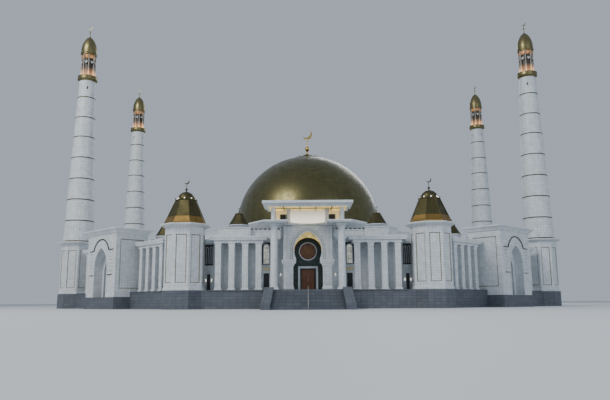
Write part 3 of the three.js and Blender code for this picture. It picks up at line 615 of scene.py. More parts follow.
crown_steps = [
    (0, 1.247), (0.008, 1.262), (0.008, 1.275), (0.018, 1.30), (0.03, 1.325), (0.03, 1.345), (0.02, 1.352),
]
slab_y = (-7.68, -7.0573)
slab_past_column = 0.2
crowns = []
for place, columns, bays in rows:
    half_length = (columns[-1] - columns[0]) / 2 + slab_past_column
    crown = moulding("crown", half_length, (slab_y[1] - slab_y[0]) / 2, crown_steps)
    crowns.append(placed(crown, place @ shift((columns[0] + columns[-1]) / 2, sum(slab_y) / 2)))
settle("portico_crowns", crowns, smooth_marble)

# Core
# The tall middle of the hall rises through the roofs: marble walls with a capped parapet and a squared block
# wrapped round each corner. A low gallery of colonnettes stands on the parapet between the blocks of the main
# sides, with painted shade on a dark panel behind it.
core_face = -5.45
corner_face = -5.58
corner_end = -corner_face * math.tan(math.pi / 8)
dress(["core_wall", "core_roof", "portal_link"], white_marble)
core_trim = []
for side in range(8):
    near = 1.891 if side % 2 else 1.641
    first = 0.7 if side == 0 else 0
    panel_x = (near + 0.06, corner_end - 0.06)
    corner_panel = block("panel", panel_x, depths(corner_face, 0.006, 0.002), (1.44, 1.74), 0.002)
    corner = joined("corner", [
        block("cap", (first, near), depths(core_face, 0.02, 0.05), (1.735, 1.762)),
        block("cap", (near - 0.012, corner_end + 0.006), depths(corner_face, 0.02, 0.18), (1.812, 1.838)),
        block("foot", (near - 0.008, corner_end + 0.004), depths(corner_face, 0.012, 0.1), (1.3405, 1.385)),
        sunk(corner_panel, faces_front, [(0.018, 0), (0.006, -0.005)]),
    ])
    core_trim.append(repeated(corner, [turned(45 * side) @ half for half in halves]))
settle("core_caps", core_trim, smooth_marble)

gallery_spans = [(0, 0.72, 1.62), (0, -1.62, -0.72)] + [(side, -1.62, 1.62) for side in (2, 4, 6)]
gallery = []
gallery_painted_shade_backs = []
for side, low, high in gallery_spans:
    count = round((high - low) / 0.13)
    pitch = (high - low) / count
    post = drawn_up("post", 12, [
        (0.02, 1.7505), (0.02, 1.772), (0.013, 1.778), (0.012, 1.90), (0.022, 1.912), (0.022, 1.926),
    ])
    row = repeated(post, [shift(low + (i + 0.5) * pitch, -5.41) for i in range(count)])
    lintel = block("lintel", (low, high), (-5.45, -5.29), (1.925, 1.968))
    gallery.append(placed(joined("row", [row, lintel]), turned(45 * side)))
    back = block("back", (low, high), (-5.345, -5.295), (1.7205, 1.926))
    gallery_painted_shade_backs.append(placed(back, turned(45 * side)))
settle("gallery_colonnettes", gallery, smooth_marble)
# The dark panels behind the colonnettes are painted shade.
gallery_painted_shade = plain_finish(
    "gallery_painted_shade_panels", [(0.10, 0.11, 0.11), (0.15, 0.155, 0.15)], 0.5, 0.3, 12, 0.2
)
settle("gallery_painted_shade_backs", gallery_painted_shade_backs, gallery_painted_shade)

# Dome
# A half sphere on a short drum, both clad in gilded metal sheets whose standing seams run up the curve and
# round it. A moulded ring closes the foot, and the crown carries a spiked collar, a ball and a crescent on
# a mast.
dome_radius = 2.665
dome_centre = 2.53
drum_foot = 1.7215


def gilded(name, tones, roughness, seams=None):
    """Gilded metal of two clouded tones. Seams are (sheets round, sheet height) about the upright axis, on
    a sphere of the dome's own size."""
    finish, tree, shader = new_finish(name, roughness, 1.0)
    clouds = clouded(tree, 5, 6, 0.65)
    colour = mixed(tree, spread(tree, clouds, 0.35, 0.65), *tones)
    if seams:
        place = add_node(tree, "SeparateXYZ", {0: add_node(tree, "TexCoord", output="Object")})
        x, y, z = place.node.outputs
        turns = calc(tree, "MULTIPLY", calc(tree, "ARCTAN2", y, x), seams[0] / math.tau)
        rise = calc(tree, "SUBTRACT", z, podium_top + dome_centre)
        climb = calc(tree, "ARCSINE", calc(tree, "DIVIDE", rise, dome_radius, use_clamp=True))
        arc = calc(tree, "MULTIPLY", climb, dome_radius)
        height = calc(tree, "ADD", arc, calc(tree, "MINIMUM", rise, 0.0))
        rows_up = calc(tree, "MULTIPLY", height, 1 / seams[1])
        sheets = add_node(tree, "TexBrick", {
            "Vector": add_node(tree, "CombineXYZ", {0: turns, 1: rows_up}), "Color1": (1, 1, 1, 1),
            "Color2": (0.9, 0.9, 0.9, 1), "Mortar": (0.66, 0.66, 0.66, 1), "Scale": 1, "Mortar Size": 0.022,
            "Mortar Smooth": 0.4, "Brick Width": 1, "Row Height": 1,
        }, offset=0.0)
        colour = add_node(tree, "VectorMath", {0: colour, 1: sheets}, operation="MULTIPLY")
        fill(shader, {"Normal": relief(tree, sheets.node.outputs["Fac"], 0.2, 0.003)})
    gloss = spread(tree, clouds, 0.35, 0.65, roughness - 0.05, roughness + 0.08)
    fill(shader, {"Base Color": colour, "Roughness": gloss})
    return finish


dome_gold = gilded("dome_gilded_sheets", [(0.175, 0.158, 0.076), (0.125, 0.114, 0.055)], 0.32, (72, 0.19))
trim_gold = gilded("bright_gilding", [(0.60, 0.42, 0.13), (0.46, 0.31, 0.09)], 0.28)
roof_gold = gilded("dull_gilding", [(0.10, 0.088, 0.042), (0.068, 0.062, 0.03)], 0.48)

dome_skin = start(
    "dome_skin", bpy.ops.mesh.primitive_uv_sphere_add, segments=128, ring_count=64, radius=dome_radius,
    location=(0, 0, dome_centre),
)
sliced(dome_skin, (0, 0, dome_centre), (0, 0, 1), clear_inner=True)
edit()
bpy.ops.mesh.select_mode(type="EDGE")
bpy.ops.mesh.select_all(action="DESELECT")
bpy.ops.mesh.select_non_manifold(extend=False, use_boundary=True)
bpy.ops.mesh.extrude_region_move(TRANSFORM_OT_translate={"value": (0, 0, drum_foot - dome_centre)})
bpy.ops.mesh.select_all(action="SELECT")
bpy.ops.mesh.normals_make_consistent(inside=False)
edit("OBJECT")
skin = dome_skin.modifiers.new("thickness", "SOLIDIFY")
skin.thickness = 0.05
skin.offset = -1
bpy.ops.object.modifier_apply(modifier=skin.name)
bpy.ops.object.shade_smooth_by_angle(angle=math.radians(30))
settle("dome_skin", dome_skin, dome_gold, stands_for=["dome"])

foot_ring = drawn_up("ring", 128, [
    (2.73, 1.7205), (2.73, 1.75), (2.705, 1.765), (2.705, 1.79), (2.68, 1.81), (2.66, 1.815),
])
eye = disc("eye", 2.65, 0.4, (0, 0, 1.78), 128, (0, 0, 0))
settle("dome_foot_ring", carved(foot_ring, eye), trim_gold)

crescent_shift = 0.47
crescent_lean = math.radians(128)


def finial(sides, foot, ball, mast, top, moon):
    """A mast with a collar, a ball (height, radius) and a slim tip, and on it a crescent (height, radius,
    thickness) that opens up and to the left as seen from the front."""
    ball_z, ball = ball
    rings = [(mast, foot), (mast, ball_z - ball * 1.35)]
    rings += [(mast * 1.5, ball_z - ball * 1.25), (mast, ball_z - ball * 1.12)]
    rings += [
        (max(ball * math.sin(turn), mast * 0.8), ball_z - ball * math.cos(turn))
        for turn in (0.5, 0.9, 1.25, 1.57, 1.9, 2.25, 2.65)
    ]
    rings += [(mast * 0.7, ball_z + ball * 1.15), (mast * 0.5, top)]
    moon_z, radius, thickness = moon
    out = radius * crescent_shift
    bite_place = (out * math.cos(crescent_lean), 0, moon_z + out * math.sin(crescent_lean))
    crescent = disc("crescent", radius, thickness, (0, 0, moon_z), 64)
    carved(crescent, disc("bite", radius, 2 * thickness, bite_place, 64))
    return [drawn_up("mast", sides, rings), crescent]


collar = drawn_up("collar", 48, [
    (0.45, 5.151), (0.45, 5.188), (0.435, 5.2), (0.3, 5.235), (0.17, 5.29), (0.08, 5.345), (0.045, 5.36),
])
collar_spike = drawn_up("spike", 8, [(0.016, 5.185), (0.016, 5.2), (0.008, 5.21), (0.009, 5.235), (0, 5.265)])
collar_spikes = repeated(collar_spike, [turned(22.5 * i) @ shift(y=-0.43) for i in range(16)])
settle("dome_finial_collar", [collar, collar_spikes], roof_gold, stands_for=["dome_finial"])
dome_finial = finial(24, 5.34, (5.56, 0.09), 0.03, 5.96, (6.14, 0.195, 0.03))
settle("dome_finial_gilded", dome_finial, trim_gold, stands_for=["dome_finial"])

# Kiosks
# Eight small octagonal kiosks stand on the corners of the core's roof: a marble wall and eaves, and a tent
# roof of gilded sheets with a ball and a crescent.
corner_names = [f"{name}_to_{after}" for name, after in zip(["front", *side_names], [*side_names, "front"])]
kiosk_nodes = [f"kiosk_{name}" for name in corner_names]


def corner_places(distance):
    """The eight corners of the plan, at a distance from the dome's axis."""
    angles = [math.radians(45 * i + 22.5) - math.pi / 2 for i in range(8)]
    return [shift(distance * math.cos(angle), distance * math.sin(angle)) for angle in angles]


kiosk_places = corner_places(5.361)
kiosk_wall = drawn_up("wall", 8, [
    (0.28, 1.7205), (0.28, 1.745), (0.27, 1.755), (0.27, 1.90), (0.28, 1.905), (0.30, 1.92), (0.33, 1.932),
    (0.335, 1.94), (0.335, 1.956), (0.30, 1.965),
])
sunk(
    kiosk_wall, lambda face: abs(face.normal.z) < 0.1 and 1.8 < face.center.z < 1.85,
    [(0.022, 0), (0.004, -0.006)],
)
settle("kiosk_walls", kiosk_wall, smooth_marble, kiosk_places, stands_for=kiosk_nodes)
kiosk_tent = drawn_up("tent", 8, [
    (0.296, 1.957), (0.296, 1.978), (0.27, 1.995), (0.19, 2.14), (0.112, 2.29), (0.118, 2.296),
    (0.118, 2.306), (0.07, 2.325), (0.03, 2.345),
])
kiosk_roof = [kiosk_tent, *finial(12, 2.34, (2.395, 0.016), 0.007, 2.465, (2.495, 0.038, 0.007))]
settle("kiosk_tent_roofs", kiosk_roof, roof_gold, kiosk_places, stands_for=kiosk_nodes)

# Corner towers
# Eight octagonal marble towers stand round the hall, each on a plinth and under a deep moulded cornice.
# Every face has a tall sunk panel whose stepped edge is dark olive: painted shade in the recess.
to_corner = 1 / math.cos(math.pi / 8)
turret_places = corner_places(7.52 * to_corner)
pavilion_corners = [0, 3, 4, 7]
minaret_corners = [1, 2, 5, 6]
pavilion_nodes = [f"pavilion_{corner_names[i]}" for i in pavilion_corners]
minaret_nodes = [f"minaret_{corner_names[i]}" for i in minaret_corners]


def tint_chosen(piece, index):
    """Gives the selected faces another of the piece's finishes."""
    for face in piece.data.polygons:
        if face.select:
            face.material_index = index


def edged_panel(piece, wanted, steps):
    """Sinks a panel by (margin, rise) steps, in a wall of white marble. What the second step and the next
    ones make is dark olive: painted shade in the recess."""
    for finish in edged_marble:
        piece.data.materials.append(finish)
    sunk(piece, wanted, steps[:1])
    tint_chosen(piece, 1)
    sunk(piece, lambda face: face.select, steps[1:])
    tint_chosen(piece, 0)


# Dark olive painted shade, for the edges of sunk panels, dark lines and the coffer bars.
olive_painted_shade = plain_finish("olive_painted_shade_edging", [(0.15, 0.14, 0.08), (0.21, 0.19, 0.11)], 0.45, 0, 20, 0.1)
edged_marble = [white_marble, olive_painted_shade]
tower = drawn_up("tower", 8, [
    (0.492, 0.0005), (0.492, 0.05), (0.482, 0.06), (0.473, 0.065), (0.473, 0.12), (0.473, 1.44),
    (0.473, 1.535), (0.485, 1.545), (0.485, 1.56), (0.50, 1.57), (0.53, 1.585), (0.57, 1.598),
    (0.592, 1.61), (0.598, 1.622), (0.598, 1.648), (0.585, 1.6535),
])
edged_panel(
    tower, lambda face: abs(face.normal.z) < 0.1 and 0.5 < face.center.z < 1.2,
    [(0.062, 0), (0.009, -0.008), (0.012, -0.004)],
)
tower_nodes = pavilion_nodes + minaret_nodes
settle("corner_towers", tower, edged_marble, turret_places, stands_for=tower_nodes)

# Pavilion roofs
# A steep octagonal tent of gilded sheets on a bright kicked-out band, with a rib on each hip and a spike on
# each upper corner. A lit cupola stands on top with a ball and a crescent.
pavilion_places = [turret_places[i] for i in pavilion_corners]
roof_nodes = [f"pavilion_roof_{corner_names[i]}" for i in pavilion_corners]
eighths = [turned(45 * i) for i in range(8)]
tent_foot = (0.47, 1.74)
tent_head = (0.254, 2.27)
band = drawn_up("band", 8, [
    (0.505, 1.654), (0.505, 1.69), (0.492, 1.715), (0.476, 1.742), (0.456, 1.79), (0.436, 1.838),
    (0.428, 1.841),
])
band_gold = gilded("brown_gilding", [(0.30, 0.19, 0.06), (0.20, 0.125, 0.04)], 0.4)
settle("pavilion_roof_bands", band, band_gold, pavilion_places, stands_for=roof_nodes)
tent = drawn_up("tent", 8, [
    (0.469, 1.735), (0.42, 1.86), (0.362, 2.0), (0.306, 2.14), tent_head, (0.262, 2.276), (0.262, 2.292),
    (0.24, 2.298),
])
hip = rod_between("hip", *[Vector((reach * to_corner, 0, z)) for reach, z in (tent_foot, tent_head)], 0.009)
spike = drawn_up("spike", 8, [(0.014, 2.285), (0.014, 2.305), (0.007, 2.312), (0.012, 2.328), (0, 2.36)])
placed(spike, shift(tent_head[0] * to_corner - 0.006))
hips = repeated(joined("hip", [hip, spike]), [turned(22.5) @ place for place in eighths])
cupola = drawn_up("cupola", 48, [
    (0.222, 2.295), (0.222, 2.305), (0.214, 2.31), (0.214, 2.335), (0.21, 2.36), (0.2, 2.39),
    (0.183, 2.42), (0.158, 2.45), (0.125, 2.475), (0.085, 2.497), (0.045, 2.51), (0.02, 2.52),
])
tent_roof = [tent, hips, cupola, *finial(16, 2.515, (2.575, 0.032), 0.012, 2.725, (2.785, 0.07, 0.012))]
settle("pavilion_tent_roofs", tent_roof, roof_gold, pavilion_places, stands_for=roof_nodes)
bulb = start(
    "bulb", bpy.ops.mesh.primitive_uv_sphere_add, segments=12, ring_count=8, radius=0.016,
    location=(0, -0.232, 2.325),
)
settle("cupola_lamps", repeated(bulb, eighths), lamp_glass, pavilion_places)

# Minarets
# Each is a round shaft that tapers, faced with curved marble slabs between seven thin gilded rings, with
# narrow slits at its foot and head. On top are a gilded balcony, a lantern of eight slim columns round a
# glazed drum, and a dome.
minaret_places = [turret_places[i] for i in minaret_corners]
lantern_nodes = [f"minaret_lantern_{corner_names[i]}" for i in minaret_corners]
shaft_foot = 1.65
shaft_height = 5.53
foot_radius = 0.478
head_radius = 0.267


def shaft_radius(z):
    return foot_radius + (head_radius - foot_radius) * (z - shaft_foot) / shaft_height


shaft_marble = facing_stone(
    "curved_marble_slabs", (0.078, 0.088), white_tones, marble_joint, 0.42, 6, wrapped=(2.5, 2 * shaft_height)
)
shaft = start(
    "shaft", bpy.ops.mesh.primitive_cone_add, vertices=96, radius1=foot_radius, radius2=head_radius,
    depth=shaft_height, location=(0, 0, shaft_foot + shaft_height / 2),
)
bpy.ops.object.shade_smooth_by_angle(angle=math.radians(40))
slits = joined("slits", [
    block("slit", half, depths(-shaft_radius(z), 0.03, 0.025), (z, z + height), 0.0005)
    for z, half, height in [(1.73, 0.018, 0.06), (2.03, 0.018, 0.06), (6.85, 0.022, 0.11)]
])
slits = repeated(slits, [turned(22.5 + 90 * i) for i in range(4)])
shafts = []
for corner, place in zip(minaret_corners, minaret_places):
    slit_turn = turned(45 if corner in (1, 5) else 0)
    cut_shaft = carved(copied(shaft, Matrix.Identity(4)), copied(slits, slit_turn))
    shafts.append(placed(cut_shaft, place))
for model in (shaft, slits):
    bpy.data.objects.remove(model)
settle("minaret_shafts", shafts, shaft_marble, stands_for=minaret_nodes)
# A dark core inside the shaft shows through the slits as painted shade, in the dark leaves' finish.
painted_shade_core = drawn_up("core", 32, [(shaft_radius(1.7) - 0.022, 1.68), (shaft_radius(7.0) - 0.022, 7.05)])
settle("slit_painted_shade_backs", painted_shade_core, dark_leaf_and_painted_shade, minaret_places)
ring_heights = [2.35, 3.05, 3.75, 4.465, 5.18, 5.86, 6.57]
ring_steps = [(0, -0.017), (0.007, -0.012), (0.007, 0.012), (0, 0.017)]
shaft_rings = [
    drawn_up("ring", 64, [(shaft_radius(z) + out, z + up) for out, up in ring_steps]) for z in ring_heights
]
shaft_rings.append(drawn_up("ring", 64, [(0.495, 1.654), (0.495, 1.672), (0.482, 1.685), (0.477, 1.70)]))
settle("minaret_rings", shaft_rings, roof_gold, minaret_places)

balcony = drawn_up("balcony", 64, [
    (0.268, 7.165), (0.278, 7.18), (0.297, 7.20), (0.322, 7.222), (0.328, 7.235), (0.328, 7.25),
    (0.32, 7.256), (0.32, 7.322), (0.328, 7.328), (0.328, 7.345), (0.305, 7.345), (0.305, 7.272),
    (0.2, 7.272),
])
crown = drawn_up("crown", 64, [
    (0.235, 8.128), (0.256, 8.132), (0.256, 8.162), (0.272, 8.17), (0.2745, 8.178), (0.2745, 8.208),
    (0.266, 8.216), (0.257, 8.222), (0.2585, 8.29), (0.257, 8.34), (0.252, 8.39), (0.2445, 8.44),
    (0.232, 8.495), (0.214, 8.55), (0.192, 8.605), (0.165, 8.66), (0.13, 8.715), (0.09, 8.763),
    (0.052, 8.795), (0.025, 8.82), (0.014, 8.84),
])
lantern_finish = gilded("lantern_gilding", [(0.24, 0.205, 0.10), (0.17, 0.148, 0.075)], 0.36)
lantern_gold = [balcony, crown, *finial(16, 8.83, (8.98, 0.028), 0.013, 9.1, (9.165, 0.075, 0.012))]
settle(
    "minaret_lantern_domes", lantern_gold, lantern_finish, minaret_places, stands_for=lantern_nodes
)


def warm_lit(name, tones, roughness, foot, reach, strength, light):
    """A plain surface with warm light painted on from its foot: a painted glow that fades out over the given
    reach.
    """
    finish = plain_finish(name, tones, roughness, 0, 30, 0.1)
    tree = finish.node_tree
    height = add_node(tree, "SeparateXYZ", {0: add_node(tree, "TexCoord", output="Object")}, output="Z")
    low = podium_top + foot
    fade = spread(tree, height, low, low + reach, 1.0, 0.0, interpolation_type="SMOOTHSTEP")
    glow = mixed(tree, fade, (0, 0, 0), light)
    fill(tree.nodes["Principled BSDF"], {"Emission Color": glow, "Emission Strength": strength})
    return finish


lantern_post = drawn_up("post", 12, [
    (0.03, 7.272), (0.03, 7.30), (0.022, 7.31), (0.02, 7.95), (0.019, 8.06), (0.028, 8.085), (0.028, 8.13),
])
lantern_posts = repeated(lantern_post, [turned(22.5) @ place @ shift(y=-0.222) for place in eighths])
# The warm glow at the columns' foot is painted light.
post_painted_glow = warm_lit(
    "lantern_column_stone_painted_glow", [(0.25, 0.215, 0.18), (0.32, 0.275, 0.23)], 0.4, 7.27, 0.42, 1.8,
    (1.0, 0.55, 0.24),
)
settle("lantern_columns", lantern_posts, post_painted_glow, minaret_places, stands_for=lantern_nodes)
lantern_drum = drawn_up("drum", 32, [
    (0.202, 7.272), (0.195, 7.29), (0.195, 8.05), (0.205, 8.10), (0.205, 8.13),
])
# The warm glow at the drum's foot is painted light.
drum_painted_glow = warm_lit(
    "lantern_drum_glass_painted_glow", [(0.022, 0.022, 0.016), (0.04, 0.036, 0.026)], 0.45, 7.25, 0.45, 0.9,
    (1.0, 0.45, 0.2),
)
settle("lantern_drums", lantern_drum, drum_painted_glow, minaret_places, stands_for=lantern_nodes)
lit_head = drawn_up("head", 32, [(0.19, 7.99), (0.203, 8.02), (0.207, 8.05), (0.207, 8.127)])
head_glow = lit_glass("lantern_head_glow", (0.62, 0.27, 0.085), 0.45)
settle("lantern_heads", lit_head, head_glow, minaret_places)
horn = start(
    "horn", bpy.ops.mesh.primitive_cone_add, vertices=20, radius1=0.045, radius2=0.012, depth=0.05,
    location=(0, -0.22, 7.84), rotation=(-math.pi / 2, 0, 0),
)
sunk(horn, faces_front, [(0.006, 0), (0.016, -0.03)])
horn_finish = plain_finish("pale_painted_metal", [(0.5, 0.52, 0.52), (0.58, 0.6, 0.6)], 0.4, 0, 40, 0.1)
settle("lantern_horns", repeated(horn, eighths), horn_finish, minaret_places)

# Gateways
# Four marble blocks stand on the diagonals. Each has a deep pointed niche with a passage through its back,
# grooved courses beside the niche under a hood moulding, framed side panels and a stepped cornice. The hood
# and a line under each impost are painted shade in dark bronze colour.
gate_y = -7.745
gate_half = (0.84, 0.485)
gate_front = gate_y - gate_half[1]
gate_back = gate_y + gate_half[1]
gate_foot = -0.1395
gate_places = [turned(45 + 90 * i) for i in range(4)]
gate_names = [f"gateway_{name}" for name in ("right_front", "right_back", "left_back", "left_front")]
gate_block = block("gateway", gate_half[0], (gate_front, gate_back), (gate_foot, 1.60), 0.004)
for z in (-0.04, 1.58):
    sliced(gate_block, (0, 0, z), (0, 0, 1))
# The side panels' stepped edges are dark olive painted shade.
edged_panel(
    gate_block, lambda face: abs(face.normal.x) > 0.9 and 0.5 < face.center.z < 1.2,
    [(0.13, 0), (0.012, -0.008), (0.01, -0.004)],
)
niche = arch_body("niche", 0.37, (gate_foot - 0.01, 0.70, 1.24), depths(gate_front, 0.02, 0.25))
passage = arch_body("passage", 0.26, (gate_foot - 0.01, 0.56, 0.96), (gate_front + 0.2, gate_back + 0.02))
grooves = []
for i in range(6):
    z = 0.58 + 0.098 * i
    grooves += block_pair("groove", (0.50, 0.67), depths(gate_front, 0.01, 0.022), (z, z + 0.017), 0.0005)
carved(gate_block, niche, passage, joined("grooves", grooves))
settle("gateways", gate_block, edged_marble, gate_places, stands_for=gate_names)

gate_cornice = moulding("cornice", *gate_half, [
    (0, 1.599), (0.02, 1.615), (0.035, 1.628), (0.04, 1.65), (0.06, 1.66), (0.062, 1.68), (0.075, 1.69),
    (0.09, 1.70), (0.12, 1.718), (0.12, 1.742), (0.112, 1.7495),
])
gate_trim = [
    placed(gate_cornice, shift(y=gate_y)),
    arch_band("niche_band", 0.372, (gate_foot, 0.70, 1.243), depths(gate_front, 0.014, 0.02), 0.035),
    arch_band("passage_band", 0.262, (gate_foot, 0.56, 0.963), depths(gate_front, -0.238, 0.26), 0.03),
]
gate_trim += block_pair("impost", (0.372, 0.68), depths(gate_front, 0.02, 0.01), (0.488, 0.522), 0.004)
gate_trim += block_pair("plinth", (0.372, 0.68), depths(gate_front, 0.016, 0.01), (gate_foot, -0.02), 0.004)
settle("gateway_trim", gate_trim, smooth_marble, gate_places)

# The hood, its returns and the line under each impost are painted shade in dark bronze colour.
hood_foot = 1.158
hood_y = depths(gate_front, 0.022, 0.01)
hood = arch_band("hood", 0.47, (0.9, 1.0, 1.47), hood_y, 0.02)
carved(hood, block("cut", 0.6, depths(gate_front, 0.1, 0.1), (0.8, hood_foot), 0.001))
hood_parts = [hood, *block_pair("return", (0.445, 0.70), hood_y, (hood_foot, hood_foot + 0.02))]
hood_parts += block_pair("line", (0.40, 0.66), depths(gate_front, 0.024, 0.01), (0.474, 0.489))
settle("gateway_hoods_painted_shade", hood_parts, dark_bronze_and_painted_shade, gate_places)

# Portal screen
# An arched marble wall with side walls back to the hall. Its horseshoe arch springs from moulded imposts on
# square piers and has a scalloped gilded lining, and a raised line frames it.
screen_front = -7.60
screen_back = -7.50
screen_half = 0.62
screen_top = 1.6045
screen_z = (0.0005, screen_top)
arch_centre = 0.99
arch_apex = 1.46
pier_x = (0.37, 0.595)
through = (screen_front - 0.05, screen_back + 0.05)
screen = block("screen", screen_half, (screen_front, screen_back), screen_z)
horseshoe = arch_body("arch", 0.345, (0.64, arch_centre, arch_apex), through, waist=0.785, vertices=96)
below_arch = (-0.05, 0.665)
between = block("between", pier_x[0], through, below_arch, 0.0005)
outside = block_pair("outside", (pier_x[1], screen_half + 0.1), through, below_arch, 0.0005)
carved(screen, horseshoe, between, *outside)
flanks = block_pair("side", (0.54, screen_half), (screen_back - 0.002, -7.0575), screen_z)
settle("portal_screen_wall", [screen, *flanks], white_marble, stands_for=["portal_screen"])

pier_middle = sum(pier_x) / 2
pier_side = (pier_x[1] - pier_x[0]) / 2
impost = drawn_up("impost", 4, [(pier_side + out, 0.05 + deep, z) for out, deep, z in [
    (0.001, 0.001, 0.565), (0.008, 0.006, 0.575), (0.012, 0.008, 0.60), (0.03, 0.012, 0.635),
    (0.055, 0.018, 0.66), (0.063, 0.022, 0.67), (0.063, 0.022, 0.705), (0.067, 0.026, 0.712),
    (0.067, 0.026, 0.745), (0.06, 0.02, 0.752),
]])
pier_foot = moulding(
    "foot", pier_side, 0.05, [(0.02, 0.0005), (0.02, 0.05), (0.014, 0.056), (0.014, 0.075), (0.001, 0.085)]
)
pier_places = [shift(hand * pier_middle, (screen_front + screen_back) / 2) for hand in (-1, 1)]
screen_trim = [repeated(joined("pier", [impost, pier_foot]), pier_places)]
for half, top, width, out in ((0.352, 1.468, 0.028, 0.006), (0.405, 1.53, 0.02, 0.014)):
    band_y = depths(screen_front, out, 0.01)
    screen_trim.append(arch_band("band", half, (0.753, arch_centre, top), band_y, width))
line_y = depths(screen_front, 0.007, 0.004)
for x, z in ((0.53, 1.573), (0.505, 1.548)):
    screen_trim += block_pair("line", (x - 0.006, x + 0.006), line_y, (0.753, 1.585), 0.002)
    screen_trim.append(block("line", x, line_y, (z, z + 0.012), 0.002))
settle("portal_screen_trim", screen_trim, smooth_marble)
# Dark olive lines of painted shade stand beside the arch's bands.
dark_lines = [
    arch_band("line", half, (0.753, arch_centre, top), depths(screen_front, 0.003, 0.01), width)
    for half, top, width in ((0.3805, 1.502, 0.011), (0.4255, 1.556, 0.009))
]
settle("portal_screen_lines", dark_lines, olive_painted_shade)
settle("portal_side_lamps", lamp_pair(0.71, 0.37), lamp_glass)

lining_y = depths(screen_front, -0.012, 0.05)
lining = arch_body("lining", 0.3448, (0.98, arch_centre, arch_apex), lining_y, vertices=96)
hole_x = 0.33
hole_z = 0.305
carved(lining, disc("hole", 1, 0.2, (0, lining_y[0], arch_centre), 96, scale=(hole_x, hole_z, 1)))
scallop_count = 21
scallops = []
for i in range(scallop_count):
    turn = math.pi * (i + 0.5) / scallop_count
    place = (hole_x * math.cos(turn), lining_y[0], arch_centre + hole_z * math.sin(turn))
    scallops.append(disc("scallop", 0.021, 0.2, place, 16))
carved(lining, joined("scallops", scallops))
# The lining's gold glow is painted light.
lining_painted_glow = lit_glass("lit_gold_mosaic", (0.86, 0.64, 0.20), 0.35, 0.45)
settle("arch_scalloped_lining", lining, lining_painted_glow)

# Porch
# A marble slab on two round columns, with cut corners and a round bite out of its front over the arch. Its
# edge is moulded, and each column has a ringed base and a flared capital under a square block.
porch_half = 1.5
porch_front = -8.28
bite_radius = 0.475
bite_y = -7.975


def porch_plate(grow, low, high):
    """One course of the slab's edge, which stands out by the given length, or in if it is negative."""
    half = porch_half + grow
    front = porch_front - grow
    plate = block("plate", half, (front, -7.0605), (low, high), 0.002)
    corner = Vector((1.07 + grow, front, 0))
    edge = Vector((half, -7.65 - grow * 0.5, 0)) - corner
    for hand in (-1, 1):
        outwards = (hand * edge.y, -edge.x, 0)
        sliced(plate, (hand * corner.x, front, 0), outwards, use_fill=True, clear_outer=True)
    reach = bite_radius - grow
    bite = disc("bite", reach, 1, (0, bite_y, 1.6), 64, (0, 0, 0))
    mouth = block("mouth", reach, (-8.5, bite_y), (1.4, 1.9), 0.0005)
    return carved(plate, bite, mouth, block("link", 0.7005, (-7.4005, -7.0), (1.4, 1.9), 0.0005))


porch_courses = [(-0.035, 1.6105, 1.626), (-0.018, 1.625, 1.645), (0, 1.644, 1.6795)]
porch_plates = [porch_plate(*course) for course in porch_courses]
settle("porch_slab", porch_plates, smooth_marble, stands_for=["portal_porch"])
column = drawn_up("column", 48, [
    (0.108, 0.036), (0.112, 0.044), (0.108, 0.056), (0.098, 0.06), (0.098, 0.068), (0.102, 0.074),
    (0.098, 0.082), (0.09, 0.088), (0.0885, 0.6), (0.085, 1.455), (0.092, 1.46), (0.092, 1.468),
    (0.085, 1.474), (0.0865, 1.495), (0.094, 1.525), (0.108, 1.55), (0.113, 1.556), (0.113, 1.566),
])
plinth = block("plinth", 0.118, (-0.118, 0.118), (0.0005, 0.037), 0.004)
abacus = block("abacus", 0.125, (-0.125, 0.125), (1.565, 1.6115), 0.005)
column_spots = [shift(hand * 0.83, -8.0) for hand in (-1, 1)]
settle(
    "porch_columns", [column, plinth, abacus], smooth_marble, column_spots,
    stands_for=["portal_porch"],
)

# Canopy
# A broad marble slab with a moulded edge and a coffered, warmly lit underside. It stands on four posts with
# flared heads above the porch, in front of a pale lit wall.
canopy_y = -7.75
canopy = drawn_up("canopy", 4, [
    (1.03, 0.45, 2.0205), (1.03, 0.45, 2.055), (1.036, 0.456, 2.06), (1.036, 0.456, 2.07),
    (1.05, 0.475, 2.076), (1.075, 0.505, 2.082), (1.10, 0.53, 2.086), (1.11, 0.55, 2.09),
    (1.11, 0.55, 2.143), (1.103, 0.543, 2.15),
])
placed(canopy, shift(y=canopy_y))
# The soffit's warm glow is painted light.
soffit_painted_glow = lit_glass("lit_soffit_stone", (0.95, 0.70, 0.24), 0.8, 0.5)
canopy_finishes = [smooth_marble, soffit_painted_glow]
for finish in canopy_finishes:
    canopy.data.materials.append(finish)
sunk(canopy, lambda face: face.center.z < 2.03 and face.normal.z < -0.9, [(0.07, 0)])
tint_chosen(canopy, 1)
sunk(canopy, lambda face: face.select, [(0.012, -0.018)])
settle("canopy_slab.001", canopy, canopy_finishes, stands_for=["portal_canopy"])
# The coffer bars are dark olive painted shade between the lit coffers.
coffer_bars = [
    block("bar", (x - 0.014, x + 0.014), depths(canopy_y, 0.37, 0.37), (2.0215, 2.042))
    for x in (-0.6, -0.2, 0.2, 0.6)
]
coffer_bars.append(block("bar", 0.94, depths(canopy_y, 0.014, 0.014), (2.0225, 2.041)))
settle("canopy_coffers", coffer_bars, olive_painted_shade)

